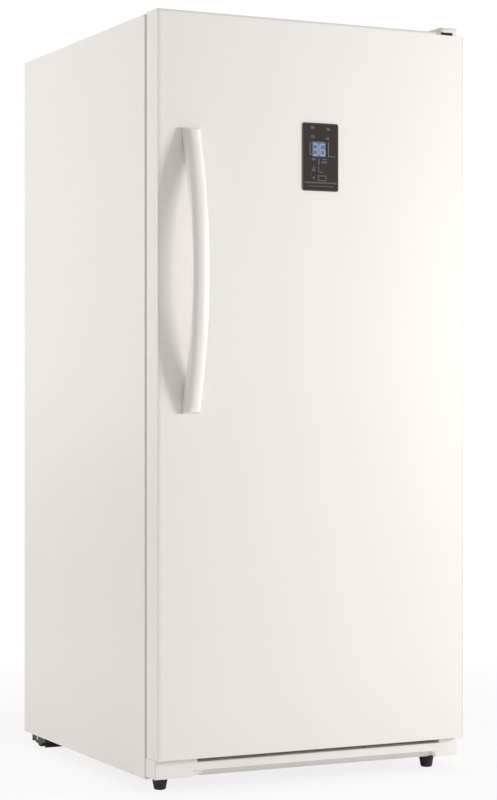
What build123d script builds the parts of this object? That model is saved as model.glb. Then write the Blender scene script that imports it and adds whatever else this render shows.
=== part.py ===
from build123d import *
from math import sqrt
import os

# Upright freezer with one door, in millimetres.  X runs to the right as seen from the front, the
# door faces -Y and Z is up.  The origin lies on the floor, in the middle of the freezer's width and
# of its whole depth from the front of the handle to the back panel.

# ---------------------------------------------------------------- whole freezer
WIDTH = 710.0
CABINET_DEPTH = 704.0
DOOR_THICKNESS = 54.0
DOOR_GAP = 12.0
HANDLE_REACH = 60.0
SIDE_BOTTOM = 26.5
CABINET_TOP = 1567.0
DOOR_BOTTOM = 71.0
DOOR_TOP = 1569.0

HALF_WIDTH = WIDTH / 2
REAR = (CABINET_DEPTH + DOOR_THICKNESS + DOOR_GAP + HANDLE_REACH) / 2
CABINET_FRONT = REAR - CABINET_DEPTH
DOOR_BACK = CABINET_FRONT - DOOR_GAP
DOOR_FRONT = DOOR_BACK - DOOR_THICKNESS

# ---------------------------------------------------------------- shell, foam and liner
SHEET = 1.0
SHELL_CORNER = 2.5
FLANGE = 25.0
BACK_FACE = REAR - 3.5
BACK_RIB_PITCH = 150.0
BACK_RIB_WIDTH = 16.0
BACK_RIB_LENGTH = 1050.0
FLOOR_SHEET = 1.5
UNDERSIDE = 78.0
ENGINE_FRONT = 170.0
ENGINE_TOP = 305.0
LINER = 2.0
CAVITY_HALF = 292.0
CAVITY_FLOOR = 132.0
CAVITY_TOP = 1503.0
CAVITY_BACK = 350.0
STEP_FRONT = 110.0
STEP_TOP = 362.0
LIP_HALF = HALF_WIDTH - FLANGE
LIP_BOTTOM = 98.0
LEDGE_FIRST = 380.0
LEDGE_PITCH = 60.0
LEDGE_COUNT = 19
LEDGE_DEPTH = 8.0
LEDGE_HEIGHT = 6.0
LEDGE_FRONT = -180.0
LEDGE_BACK = 255.0
RAIL_BOTTOM = 34.0
RAIL_SHEET = 2.0
RAIL_DEPTH = 34.0

# ---------------------------------------------------------------- base, feet and rollers
BASE_FRONT = DOOR_FRONT + 20.0
BASE_BOTTOM = 31.5
BASE_TOP = 61.0
BASE_END_TOP = 69.6
BASE_ENDS = ((-351.8, -258.0), (306.0, 351.8))
BASE_WALL = 2.5
BASE_ROUND = 2.0
BASE_LIP_ENDS = (-278.0, -244.0, 286.0, 298.0)
BASE_LIP_TOP = 45.0
BASE_LIP_INSET = 15.0
FOOT_X = 313.0
FOOT_Y = -270.0
FOOT_RADIUS = 15.5
FOOT_TIP_RADIUS = 12.5
FOOT_HEIGHT = 33.7
FOOT_BAND = 14.0
FOOT_ROUND = 2.0
FOOT_TIP_ROUND = 4.0
STUD_RADIUS = 4.0
STUD_TOP = 72.0
NUT_RADIUS = 8.0
NUT_HEIGHT = 6.5
STRAP_SHEET = 3.0
STRAP_HALF = 28.0
STRAP_LOW = 21.0
STRAP_BEND = -225.0
STRAP_BACK = -155.0
PLATE_FRONT = 175.0
PLATE_BACK = 407.0
PLATE_BOTTOM = 44.0
PLATE_SHEET = 2.5
PLATE_LIP = 14.0
ROLLER_X = 335.0
ROLLER_Y = 345.0
ROLLER_RADIUS = 20.0
ROLLER_WIDTH = 18.0
AXLE_RADIUS = 3.0
CHANNEL_SHEET = 2.0
CHANNEL_INSIDE = 11.0
CHANNEL_FRONT = 300.0
CHANNEL_BACK = 398.0
CHANNEL_LOW = 8.0
TAB_INNER = 302.0

# ---------------------------------------------------------------- hinges
PIVOT_X = 341.0
PIVOT_Y = DOOR_FRONT + 31.0
PIN_RADIUS = 4.0
PIN_DEPTH = 20.0
HINGE_SHEET = 3.0
HINGE_LEFT = 304.0
HINGE_RIGHT = 349.0
HINGE_BACK = -212.0
HINGE_FRONT = PIVOT_Y - 12.0
HINGE_TONGUE = 1566.0
HINGE_SCREWS = ((312.0, -225.0), (341.0, -225.0), (326.0, -256.0))
HINGE_SCREW_RADIUS = 2.5
COLLAR_RADIUS = 7.0
COLLAR_ROOM = 1.2
HINGE_SCREW_LENGTH = 14.0
LOWER_SHEET = 5.0
LOWER_LEFT = 309.0
LOWER_FRONT = PIVOT_Y - 7.5
LOWER_TONGUE = 60.0
LOWER_LEG_RIGHT = 338.0
LOWER_LEG_BOTTOM = 36.0
LOWER_SCREWS_X = (314.0, 325.0)
LOWER_SCREWS_Z = 46.0
COVER_LEFT = 300.0
COVER_RIGHT = 353.5
COVER_FRONT = -345.0
COVER_BACK = -206.0
COVER_TOP = 1582.0
COVER_WALL = 2.0
COVER_CORNER = 13.0
COVER_ROUND = 9.0
COVER_APRON_BACK = -331.0
COVER_WINDOW = (306.0, 333.5)

# ---------------------------------------------------------------- door
BOTTOM_CAP_HEIGHT = 6.0
BOTTOM_CAP_ROUND = 1.5
TOP_CAP_HEIGHT = 9.0
TOP_CAP_ROUND = 7.0
CAP_BOSS_HEIGHT = 24.0
NOTCH_LEFT = 288.0
NOTCH_FLOOR = 1563.0
RETURN_WIDTH = 12.0
GROOVE_X = 351.0
GROOVE_WIDTH = 2.6
GROOVE_DEPTH = 0.5
DYKE_HALF = 280.0
DYKE_WIDTH = 28.0
DYKE_BOTTOM = 146.0
DYKE_TOP = 1489.0
DYKE_FACE = CABINET_FRONT + 16.0
RECESS_FACE = DOOR_BACK - 14.0
FOAM_SEAM = 0.1
GASKET_HALF = 338.0
GASKET_WIDTH = 26.0
GASKET_BOTTOM = 86.0
GASKET_TOP = 1549.0
GASKET_CORNER = 12.0
GASKET_RELIEF = 0.3
BIN_HALF = 246.0
BIN_FRONT_GAP = 0.5
BIN_BACK = -205.0
BIN_HEIGHT = 95.0
BIN_WALL = 2.5
BIN_CORNER = 22.0
BIN_BASES = (186.0, 506.0, 826.0, 1146.0)
BIN_LUG_X = 248.5
BIN_EAR_X = 250.4
BIN_LUG_Y = (-308.0, -282.0)
BIN_HANG = 62.0
BIN_LUG_HEIGHT = 32.0
BIN_EAR_HEIGHT = 14.0
HANDLE_X = -283.0
HANDLE_WIDTH = 38.0
HANDLE_BOTTOM = 762.0
HANDLE_TOP = 1334.0
HANDLE_END_DEPTH = 17.0
HANDLE_END_SLOPE = 4.0
HANDLE_GAP = 44.0
HANDLE_FOOT = 18.0
HANDLE_ROUND = 12.0
HANDLE_SCREW_RADIUS = 2.0
HANDLE_SCREW_SPACING = 14.0
HANDLE_SCREW_INSET = 12.0
HANDLE_SCREW_DEPTH = 10.0
CONTROL_X = 9.7
CONTROL_Z = 1289.6
CONTROL_WIDTH = 82.5
CONTROL_HEIGHT = 139.7
CONTROL_CORNER = 4.5
CONTROL_PROUD = 2.5
CONTROL_RIM = 2.4
CONTROL_TUB_INSET = 4.5
CONTROL_TUB_DEPTH = 20.0
CONTROL_WALL = 2.0
GLASS_THICKNESS = 1.6
GLASS_FIT = 0.2
BOARD_THICKNESS = 1.6
BOARD_HALF_WIDTH = 32.0
BOARD_HALF_HEIGHT = 58.0
BOARD_POSTS = (27.0, 52.0)
POST_RADIUS = 3.0
POST_LENGTH = 7.4
DIGITS_HALF_WIDTH = 18.0
DIGITS_Z = (1286.0, 1322.0)
DIGITS_HEIGHT = 8.0

# ---------------------------------------------------------------- interior
SHELF_HALF = 289.0
SHELF_FRONT = -183.0
SHELF_BACK = 255.0
SHELF_ROD = 3.0
SHELF_WIRE = 1.5
SHELF_WIRES = 22
SHELF_STEPS = ((0, "lower"), (6, "middle"), (12, "upper"))
BASKET_HALF = 274.0
BASKET_FRONT = -184.0
BASKET_BACK = 102.0
BASKET_HEIGHT = 190.0
BASKET_WALL = 3.0
LIGHT_HALF = 70.0
LIGHT_FRONT = -150.0
LIGHT_BACK = -60.0
LIGHT_DEPTH = 14.0
DUCT_HALF = 250.0
DUCT_FRONT = 268.0
DUCT_TOP = 1085.0
DUCT_WALL = 2.5
COIL_Y = 316.0
COIL_BOTTOM = 440.0
COIL_PITCH = 60.0
COIL_PASSES = 7
COIL_HALF = 215.0
COIL_BEND = 28.0
COIL_TUBE = 4.0
FIN_COUNT = 18
FIN_PITCH = 20.0
FAN_Z = 985.0
FAN_RADIUS = 54.0
FAN_FRONT = 287.0
FAN_BACK = 308.0
SHAFT_RADIUS = 2.5
DRAIN_X = 100.0
DRAIN_RADIUS = 8.0
DRAIN_LOW = 262.0

# ---------------------------------------------------------------- compressor space
COMPRESSOR_X = 165.0
COMPRESSOR_Y = 290.0
CAN_RADIUS = 78.0
CAN_BOTTOM = 66.0
CAN_TOP = 236.0
MOUNT_X = 92.0
MOUNT_Y = 70.0
MOUNT_RADIUS = 3.0
PAN_BOTTOM = 238.0
PAN_TOP = 275.0
PAN_LEFT = 30.0
PAN_RIGHT = 300.0
CONDENSER_X = -175.0
CONDENSER_BOTTOM = 80.0
CONDENSER_PITCH = 30.0
CONDENSER_PASSES = 6
CONDENSER_HALF = 92.0
SHROUD_X = -104.0
BLOWER_Y = 293.0
BLOWER_Z = 160.0
BLOWER_RADIUS = 74.0

# ---------------------------------------------------------------- fits
RUNNING_FIT = 0.05
SCREW_FIT = 0.1

SIDES = ((-1, "left"), (1, "right"))
UP = (0, 0, 1)

os.makedirs("parts", exist_ok=True)


def span_box(x, y, z, mode=Mode.ADD):
    """Join to the open part, or cut from it, the box between two limits on each axis."""
    centre = tuple((low + high) / 2 for low, high in (x, y, z))
    with Locations(centre):
        Box(x[1] - x[0], y[1] - y[0], z[1] - z[0], mode=mode)


def rod(start, direction, radius, length, mode=Mode.ADD):
    """Join to the open part, or cut from it, a round rod that leaves start along direction."""
    with Locations(Plane(origin=start, z_dir=direction)):
        Cylinder(radius, length, align=(Align.CENTER, Align.CENTER, Align.MIN), mode=mode)


def blades(centre, direction, hub_radius, tip_radius, count, width, pitch_angle):
    """Join to the open part a ring of flat, tilted fan blades."""
    reach = tip_radius - hub_radius + 3
    with Locations(Plane(origin=centre, z_dir=direction)):
        with PolarLocations(hub_radius - 3 + reach / 2, count):
            with Locations(Rotation(pitch_angle, 0, 0)):
                Box(reach, width, 1.8)


def serpentine(half_length, pitch, passes):
    """Corner points of a tube that runs to and fro along X and steps up after each run."""
    points = []
    for run in range(passes):
        direction = 1 if run % 2 == 0 else -1
        points += [(-direction * half_length, run * pitch), (direction * half_length, run * pitch)]
    return points


def finish(piece, name):
    """Label a finished sub-part and write it to its own file."""
    piece.part.label = name
    export_step(piece.part, f"parts/{name}.step")


# ================================================================ cabinet
# Painted steel wrap: both sides and the top from one sheet, with a flange turned in at the front.
with BuildPart() as cabinet_shell:
    span_box((-HALF_WIDTH, HALF_WIDTH), (CABINET_FRONT, REAR), (SIDE_BOTTOM, CABINET_TOP))
    front_corners = cabinet_shell.edges().filter_by(Axis.Z).group_by(Axis.Y)[0]
    top_corners = cabinet_shell.edges().filter_by(Axis.Y).group_by(Axis.Z)[-1]
    fillet(front_corners + top_corners, SHELL_CORNER)
    span_box(
        (-HALF_WIDTH + SHEET, HALF_WIDTH - SHEET),
        (CABINET_FRONT + SHEET, REAR + SHEET),
        (SIDE_BOTTOM - SHEET, CABINET_TOP - SHEET),
        mode=Mode.SUBTRACT,
    )
    span_box(
        (-LIP_HALF, LIP_HALF),
        (CABINET_FRONT - SHEET, CABINET_FRONT + 2 * SHEET),
        (SIDE_BOTTOM - SHEET, CABINET_TOP - FLANGE),
        mode=Mode.SUBTRACT,
    )
    for screw_x, screw_y in HINGE_SCREWS:
        hole_start = (screw_x, screw_y, CABINET_TOP - 2 * SHEET)
        rod(hole_start, UP, HINGE_SCREW_RADIUS + SCREW_FIT, 3 * SHEET, mode=Mode.SUBTRACT)
finish(cabinet_shell, "cabinet_shell")

# Back panel with four pressed stiffening ribs.
BACK_MIDDLE = (ENGINE_TOP + CABINET_TOP) / 2
with BuildPart() as back_panel:
    span_box(
        (-HALF_WIDTH + SHEET, HALF_WIDTH - SHEET),
        (BACK_FACE, BACK_FACE + SHEET),
        (ENGINE_TOP, CABINET_TOP - SHEET),
    )
    with BuildSketch(Plane((0, BACK_FACE + SHEET, BACK_MIDDLE), x_dir=(1, 0, 0), z_dir=(0, 1, 0))):
        with GridLocations(BACK_RIB_PITCH, 0, 4, 1):
            SlotOverall(BACK_RIB_LENGTH, BACK_RIB_WIDTH, rotation=90)
    extrude(amount=REAR - BACK_FACE - SHEET)
finish(back_panel, "back_panel")

# Stepped steel sheet that closes the foam from below and roofs the compressor space.
with BuildPart() as stepped_floor:
    with BuildSketch(Plane.YZ):
        with BuildLine():
            Polyline(
                (CABINET_FRONT + LINER, UNDERSIDE - FLOOR_SHEET),
                (ENGINE_FRONT + FLOOR_SHEET, UNDERSIDE - FLOOR_SHEET),
                (ENGINE_FRONT + FLOOR_SHEET, ENGINE_TOP - FLOOR_SHEET),
                (BACK_FACE, ENGINE_TOP - FLOOR_SHEET),
                (BACK_FACE, ENGINE_TOP),
                (ENGINE_FRONT, ENGINE_TOP),
                (ENGINE_FRONT, UNDERSIDE),
                (CABINET_FRONT + LINER, UNDERSIDE),
                close=True,
            )
        make_face()
    extrude(amount=HALF_WIDTH - SHEET, both=True)
    hole_start = (DRAIN_X, COIL_Y, ENGINE_TOP - 2 * FLOOR_SHEET)
    rod(hole_start, UP, DRAIN_RADIUS + SCREW_FIT, 3 * FLOOR_SHEET, mode=Mode.SUBTRACT)
finish(stepped_floor, "stepped_floor")

# Foam insulation, poured between the steel wrap and the liner.
with BuildPart() as cabinet_insulation:
    with BuildSketch(Plane.YZ):
        with BuildLine():
            Polyline(
                (CABINET_FRONT + LINER, UNDERSIDE),
                (ENGINE_FRONT, UNDERSIDE),
                (ENGINE_FRONT, ENGINE_TOP),
                (BACK_FACE, ENGINE_TOP),
                (BACK_FACE, CABINET_TOP - SHEET),
                (CABINET_FRONT + LINER, CABINET_TOP - SHEET),
                close=True,
            )
        make_face()
    extrude(amount=HALF_WIDTH - SHEET, both=True)
    with BuildSketch(Plane.YZ):
        with BuildLine():
            Polyline(
                (CABINET_FRONT, CAVITY_FLOOR - LINER),
                (STEP_FRONT + LINER, CAVITY_FLOOR - LINER),
                (STEP_FRONT + LINER, STEP_TOP - LINER),
                (CAVITY_BACK + LINER, STEP_TOP - LINER),
                (CAVITY_BACK + LINER, CAVITY_TOP + LINER),
                (CABINET_FRONT, CAVITY_TOP + LINER),
                close=True,
            )
        make_face()
    extrude(amount=CAVITY_HALF + LINER, both=True, mode=Mode.SUBTRACT)
    hole_start = (DRAIN_X, COIL_Y, ENGINE_TOP - LINER)
    drain_room = STEP_TOP - ENGINE_TOP + 2 * LINER
    rod(hole_start, UP, DRAIN_RADIUS + SCREW_FIT, drain_room, mode=Mode.SUBTRACT)
    for screw_x, screw_y in HINGE_SCREWS:
        hole_start = (screw_x, screw_y, CABINET_TOP - HINGE_SCREW_LENGTH)
        hole_radius = HINGE_SCREW_RADIUS + SCREW_FIT
        rod(hole_start, UP, hole_radius, HINGE_SCREW_LENGTH, mode=Mode.SUBTRACT)
finish(cabinet_insulation, "cabinet_insulation")

# Inner liner: the moulded white cavity, its front lip and the ledges that carry the shelves.
with BuildPart() as inner_liner:
    with BuildSketch(Plane.YZ):
        with BuildLine():
            Polyline(
                (CABINET_FRONT + LINER, CAVITY_FLOOR - LINER),
                (STEP_FRONT + LINER, CAVITY_FLOOR - LINER),
                (STEP_FRONT + LINER, STEP_TOP - LINER),
                (CAVITY_BACK + LINER, STEP_TOP - LINER),
                (CAVITY_BACK + LINER, CAVITY_TOP + LINER),
                (CABINET_FRONT + LINER, CAVITY_TOP + LINER),
                close=True,
            )
        make_face()
    extrude(amount=CAVITY_HALF + LINER, both=True)
    span_box(
        (-LIP_HALF, LIP_HALF),
        (CABINET_FRONT, CABINET_FRONT + LINER),
        (LIP_BOTTOM, CABINET_TOP - FLANGE),
    )
    with BuildSketch(Plane.YZ):
        with BuildLine():
            Polyline(
                (CABINET_FRONT - LINER, CAVITY_FLOOR),
                (STEP_FRONT, CAVITY_FLOOR),
                (STEP_FRONT, STEP_TOP),
                (CAVITY_BACK, STEP_TOP),
                (CAVITY_BACK, CAVITY_TOP),
                (CABINET_FRONT - LINER, CAVITY_TOP),
                close=True,
            )
        make_face()
    extrude(amount=CAVITY_HALF, both=True, mode=Mode.SUBTRACT)
    for ledge in range(LEDGE_COUNT):
        ledge_top = LEDGE_FIRST + ledge * LEDGE_PITCH
        for side, _ in SIDES:
            ledge_x = sorted((side * (CAVITY_HALF - LEDGE_DEPTH), side * (CAVITY_HALF + LINER / 2)))
            span_box(ledge_x, (LEDGE_FRONT, LEDGE_BACK), (ledge_top - LEDGE_HEIGHT, ledge_top))
    hole_start = (DRAIN_X, COIL_Y, STEP_TOP - 2 * LINER)
    rod(hole_start, UP, DRAIN_RADIUS + SCREW_FIT, 3 * LINER, mode=Mode.SUBTRACT)
finish(inner_liner, "inner_liner")

# Steel rail across the front, under the door opening: the lower seat of the door's magnetic seal.
# Its lower flange is pierced for the feet's studs and its web for the lower hinge's screws.
with BuildPart() as front_rail:
    span_box(
        (-LIP_HALF, LIP_HALF),
        (CABINET_FRONT, CABINET_FRONT + RAIL_SHEET),
        (RAIL_BOTTOM, LIP_BOTTOM),
    )
    span_box(
        (-LIP_HALF, LIP_HALF),
        (CABINET_FRONT, CABINET_FRONT + RAIL_DEPTH),
        (RAIL_BOTTOM, RAIL_BOTTOM + RAIL_SHEET),
    )
    for side, _ in SIDES:
        hole_start = (side * FOOT_X, FOOT_Y, RAIL_BOTTOM - RAIL_SHEET)
        rod(hole_start, UP, STUD_RADIUS + 1, 3 * RAIL_SHEET, mode=Mode.SUBTRACT)
    for screw_x in LOWER_SCREWS_X:
        hole_start = (screw_x, CABINET_FRONT - RAIL_SHEET, LOWER_SCREWS_Z)
        hole_radius = HINGE_SCREW_RADIUS + SCREW_FIT
        rod(hole_start, (0, 1, 0), hole_radius, 3 * RAIL_SHEET, mode=Mode.SUBTRACT)
finish(front_rail, "front_rail")

# ================================================================ base, feet and rollers
# White plinth cover under the door.  Both ends rise to the door: the right one hides the lower
# hinge, the left one is there for a door hung on the other side.  The lower lip slopes back and
# fades out at both ends.
with BuildPart() as kickplate:
    base_x = (BASE_ENDS[0][0], BASE_ENDS[-1][1])
    span_box(base_x, (BASE_FRONT, CABINET_FRONT), (BASE_BOTTOM, BASE_TOP))
    for end_x in BASE_ENDS:
        span_box(end_x, (BASE_FRONT, CABINET_FRONT), (BASE_BOTTOM, BASE_END_TOP))
    front_edges = kickplate.faces().sort_by(Axis.Y)[0].edges()
    level_edges = front_edges.filter_by(Axis.X)
    top_edges = level_edges - level_edges.group_by(Axis.Z)[0]
    fillet(front_edges.filter_by(Axis.Z) + top_edges, BASE_ROUND)
    base_y = (BASE_FRONT + BASE_WALL, CABINET_FRONT + BASE_WALL)
    inside_x = (base_x[0] + BASE_WALL, base_x[1] - BASE_WALL)
    inside_z = (BASE_BOTTOM - BASE_WALL, BASE_TOP - BASE_WALL)
    span_box(inside_x, base_y, inside_z, mode=Mode.SUBTRACT)
    for end_left, end_right in BASE_ENDS:
        inside_x = (end_left + BASE_WALL, end_right - BASE_WALL)
        inside_z = (BASE_BOTTOM - BASE_WALL, BASE_END_TOP - BASE_WALL)
        span_box(inside_x, base_y, inside_z, mode=Mode.SUBTRACT)
    span_box(
        (BASE_LIP_ENDS[0], BASE_LIP_ENDS[-1]),
        (BASE_FRONT - BASE_WALL, BASE_FRONT + BASE_WALL),
        (BASE_BOTTOM - BASE_WALL, BASE_LIP_TOP),
        mode=Mode.SUBTRACT,
    )
    lip_insets = (0, BASE_LIP_INSET, BASE_LIP_INSET, 0)
    for stretch in range(len(lip_insets) - 1):
        for end in (stretch, stretch + 1):
            lip_foot = BASE_FRONT + lip_insets[end]
            with BuildSketch(Plane.YZ.offset(BASE_LIP_ENDS[end])):
                with BuildLine():
                    Polyline(
                        (BASE_FRONT, BASE_LIP_TOP),
                        (lip_foot, BASE_BOTTOM),
                        (lip_foot + BASE_WALL, BASE_BOTTOM),
                        (BASE_FRONT + BASE_WALL, BASE_LIP_TOP + BASE_WALL),
                        (BASE_FRONT, BASE_LIP_TOP + BASE_WALL),
                        close=True,
                    )
                make_face()
        loft(ruled=True)
    hole_start = (PIVOT_X, PIVOT_Y, BASE_TOP)
    rod(hole_start, UP, COLLAR_RADIUS + COLLAR_ROOM, BASE_END_TOP - BASE_TOP + 1, mode=Mode.SUBTRACT)
finish(kickplate, "kickplate")

# Pressed steel strap on each side, which holds the levelling foot's stud, and the nut on it.
STRAP_FLOOR = RAIL_BOTTOM + RAIL_SHEET
with BuildPart() as foot_brackets:
    with BuildSketch(Plane.YZ.offset(-FOOT_X - STRAP_HALF)):
        with BuildLine():
            Polyline(
                (CABINET_FRONT + RAIL_SHEET, STRAP_FLOOR),
                (STRAP_BEND - 22, STRAP_FLOOR),
                (STRAP_BEND, STRAP_LOW),
                (STRAP_BACK, STRAP_LOW),
                (STRAP_BACK, UNDERSIDE - FLOOR_SHEET),
                (STRAP_BACK - STRAP_SHEET, UNDERSIDE - FLOOR_SHEET),
                (STRAP_BACK - STRAP_SHEET, STRAP_LOW + STRAP_SHEET),
                (STRAP_BEND + 1, STRAP_LOW + STRAP_SHEET),
                (STRAP_BEND - 20, STRAP_FLOOR + STRAP_SHEET),
                (CABINET_FRONT + RAIL_SHEET, STRAP_FLOOR + STRAP_SHEET),
                close=True,
            )
        make_face()
    extrude(amount=2 * STRAP_HALF)
    hole_start = (-FOOT_X, FOOT_Y, RAIL_BOTTOM)
    rod(hole_start, UP, STUD_RADIUS + SCREW_FIT, STRAP_FLOOR, mode=Mode.SUBTRACT)
    mirror(about=Plane.YZ)
finish(foot_brackets, "foot_brackets")

with BuildPart() as foot_nuts:
    with BuildSketch(Plane.XY.offset(STRAP_FLOOR + STRAP_SHEET)):
        with Locations((-FOOT_X, FOOT_Y)):
            RegularPolygon(NUT_RADIUS, 6)
            Circle(STUD_RADIUS + RUNNING_FIT, mode=Mode.SUBTRACT)
    extrude(amount=NUT_HEIGHT)
    chamfer(foot_nuts.faces().sort_by(Axis.Z)[-1].outer_wire().edges(), 0.6)
    mirror(about=Plane.YZ)
finish(foot_nuts, "foot_nuts")

# Levelling feet: a tapered plastic pad moulded round a steel stud.
for side, place in SIDES:
    with BuildPart() as front_foot:
        with BuildSketch(Plane.XZ.offset(-FOOT_Y)):
            with BuildLine():
                tip_edge = side * FOOT_X + FOOT_TIP_RADIUS
                tip_middle = FOOT_TIP_ROUND * (1 - sqrt(0.5))
                Line((side * FOOT_X, 0), (tip_edge - FOOT_TIP_ROUND, 0))
                ThreePointArc(
                    (tip_edge - FOOT_TIP_ROUND, 0),
                    (tip_edge - tip_middle, tip_middle),
                    (tip_edge, FOOT_TIP_ROUND),
                )
                Polyline(
                    (tip_edge, FOOT_TIP_ROUND),
                    (side * FOOT_X + FOOT_RADIUS, FOOT_HEIGHT - FOOT_BAND),
                    (side * FOOT_X + FOOT_RADIUS, FOOT_HEIGHT - FOOT_ROUND),
                    (side * FOOT_X + FOOT_RADIUS - FOOT_ROUND, FOOT_HEIGHT),
                    (side * FOOT_X + STUD_RADIUS, FOOT_HEIGHT),
                    (side * FOOT_X + STUD_RADIUS, STUD_TOP - 1),
                    (side * FOOT_X + STUD_RADIUS - 1, STUD_TOP),
                    (side * FOOT_X, STUD_TOP),
                    (side * FOOT_X, 0),
                )
            make_face()
        revolve(axis=Axis((side * FOOT_X, FOOT_Y, 0), UP))
    finish(front_foot, f"front_foot_{place}")

# Steel plate that carries the compressor and, under it, the roller brackets.
with BuildPart() as compressor_plate:
    span_box(
        (-HALF_WIDTH + SHEET, HALF_WIDTH - SHEET),
        (PLATE_FRONT, PLATE_BACK),
        (PLATE_BOTTOM, PLATE_BOTTOM + PLATE_SHEET),
    )
    for lip_front in (PLATE_FRONT, PLATE_BACK - PLATE_SHEET):
        span_box(
            (-HALF_WIDTH + SHEET, HALF_WIDTH - SHEET),
            (lip_front, lip_front + PLATE_SHEET),
            (PLATE_BOTTOM, PLATE_BOTTOM + PLATE_LIP),
        )
    with Locations((COMPRESSOR_X, COMPRESSOR_Y, PLATE_BOTTOM)):
        with GridLocations(2 * MOUNT_X, 2 * MOUNT_Y, 2, 2):
            Cylinder(MOUNT_RADIUS, 24, align=(Align.CENTER, Align.CENTER, Align.MIN))
finish(compressor_plate, "compressor_plate")

# Black steel channel over each rear roller, with a stop stud behind and a tab in front.
with BuildPart() as roller_brackets:
    for flange in (-CHANNEL_INSIDE - CHANNEL_SHEET, CHANNEL_INSIDE):
        with BuildSketch(Plane.YZ.offset(-ROLLER_X + flange)):
            with BuildLine():
                Polyline(
                    (CHANNEL_FRONT, PLATE_BOTTOM),
                    (CHANNEL_FRONT, 2 * CHANNEL_LOW),
                    (ROLLER_Y - 14, CHANNEL_LOW),
                    (ROLLER_Y + 14, CHANNEL_LOW),
                    (CHANNEL_BACK, 4 * CHANNEL_LOW),
                    (CHANNEL_BACK, PLATE_BOTTOM),
                    close=True,
                )
            make_face()
        extrude(amount=CHANNEL_SHEET)
    span_box(
        (-ROLLER_X - CHANNEL_INSIDE, -ROLLER_X + CHANNEL_INSIDE),
        (CHANNEL_FRONT, CHANNEL_BACK),
        (PLATE_BOTTOM - CHANNEL_SHEET, PLATE_BOTTOM),
    )
    span_box(
        (-ROLLER_X - CHANNEL_INSIDE - CHANNEL_SHEET, -TAB_INNER),
        (CHANNEL_FRONT - CHANNEL_SHEET, CHANNEL_FRONT),
        (CHANNEL_LOW / 2, PLATE_BOTTOM),
    )
    stop_start = (-ROLLER_X - 4, CHANNEL_BACK - 9, CHANNEL_LOW)
    rod(stop_start, UP, 6, PLATE_BOTTOM - CHANNEL_SHEET - CHANNEL_LOW)
    hole_start = (-ROLLER_X - 20, ROLLER_Y, ROLLER_RADIUS)
    rod(hole_start, (1, 0, 0), AXLE_RADIUS + RUNNING_FIT, 40, mode=Mode.SUBTRACT)
    mirror(about=Plane.YZ)
finish(roller_brackets, "roller_brackets")

# Riveted axles.
AXLE_HALF = CHANNEL_INSIDE + CHANNEL_SHEET
with BuildPart() as roller_axles:
    rod((-ROLLER_X - AXLE_HALF, ROLLER_Y, ROLLER_RADIUS), (1, 0, 0), AXLE_RADIUS, 2 * AXLE_HALF)
    for head_x in (-ROLLER_X - AXLE_HALF - 1.5, -ROLLER_X + AXLE_HALF):
        rod((head_x, ROLLER_Y, ROLLER_RADIUS), (1, 0, 0), AXLE_RADIUS + 2, 1.5)
    mirror(about=Plane.YZ)
finish(roller_axles, "roller_axles")

for side, place in SIDES:
    roller_start = (side * ROLLER_X - ROLLER_WIDTH / 2, ROLLER_Y, ROLLER_RADIUS)
    with BuildPart() as rear_roller:
        rod(roller_start, (1, 0, 0), ROLLER_RADIUS, ROLLER_WIDTH)
        chamfer(rear_roller.edges().filter_by(GeomType.CIRCLE), 1.5)
        bore_radius = AXLE_RADIUS + RUNNING_FIT
        rod(roller_start, (1, 0, 0), bore_radius, ROLLER_WIDTH, mode=Mode.SUBTRACT)
    finish(rear_roller, f"rear_roller_{place}")

# ================================================================ hinges
# Upper hinge: a joggled steel plate on the cabinet's top.  Its tongue lies in the door's notch.
with BuildPart() as upper_hinge_bracket:
    with BuildSketch(Plane.YZ.offset(HINGE_LEFT)):
        with BuildLine():
            Polyline(
                (HINGE_FRONT, HINGE_TONGUE),
                (CABINET_FRONT - 2 * HINGE_SHEET, HINGE_TONGUE),
                (CABINET_FRONT - HINGE_SHEET, CABINET_TOP),
                (HINGE_BACK, CABINET_TOP),
                (HINGE_BACK, CABINET_TOP + HINGE_SHEET),
                (CABINET_FRONT - HINGE_SHEET, CABINET_TOP + HINGE_SHEET),
                (CABINET_FRONT - 2 * HINGE_SHEET, HINGE_TONGUE + HINGE_SHEET),
                (HINGE_FRONT, HINGE_TONGUE + HINGE_SHEET),
                close=True,
            )
        make_face()
    extrude(amount=HINGE_RIGHT - HINGE_LEFT)
    fillet(upper_hinge_bracket.edges().filter_by(Axis.Z).group_by(Axis.Y)[0], 8)
    fillet(upper_hinge_bracket.edges().filter_by(Axis.Z).group_by(Axis.Y)[-1], 6)
    for screw_x, screw_y in HINGE_SCREWS:
        hole_start = (screw_x, screw_y, CABINET_TOP - SHEET)
        hole_radius = HINGE_SCREW_RADIUS + SCREW_FIT
        rod(hole_start, UP, hole_radius, 2 * HINGE_SHEET, mode=Mode.SUBTRACT)
    hole_start = (PIVOT_X, PIVOT_Y, HINGE_TONGUE - SHEET)
    rod(hole_start, UP, PIN_RADIUS + SCREW_FIT, 2 * HINGE_SHEET, mode=Mode.SUBTRACT)
finish(upper_hinge_bracket, "upper_hinge_bracket")

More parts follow.
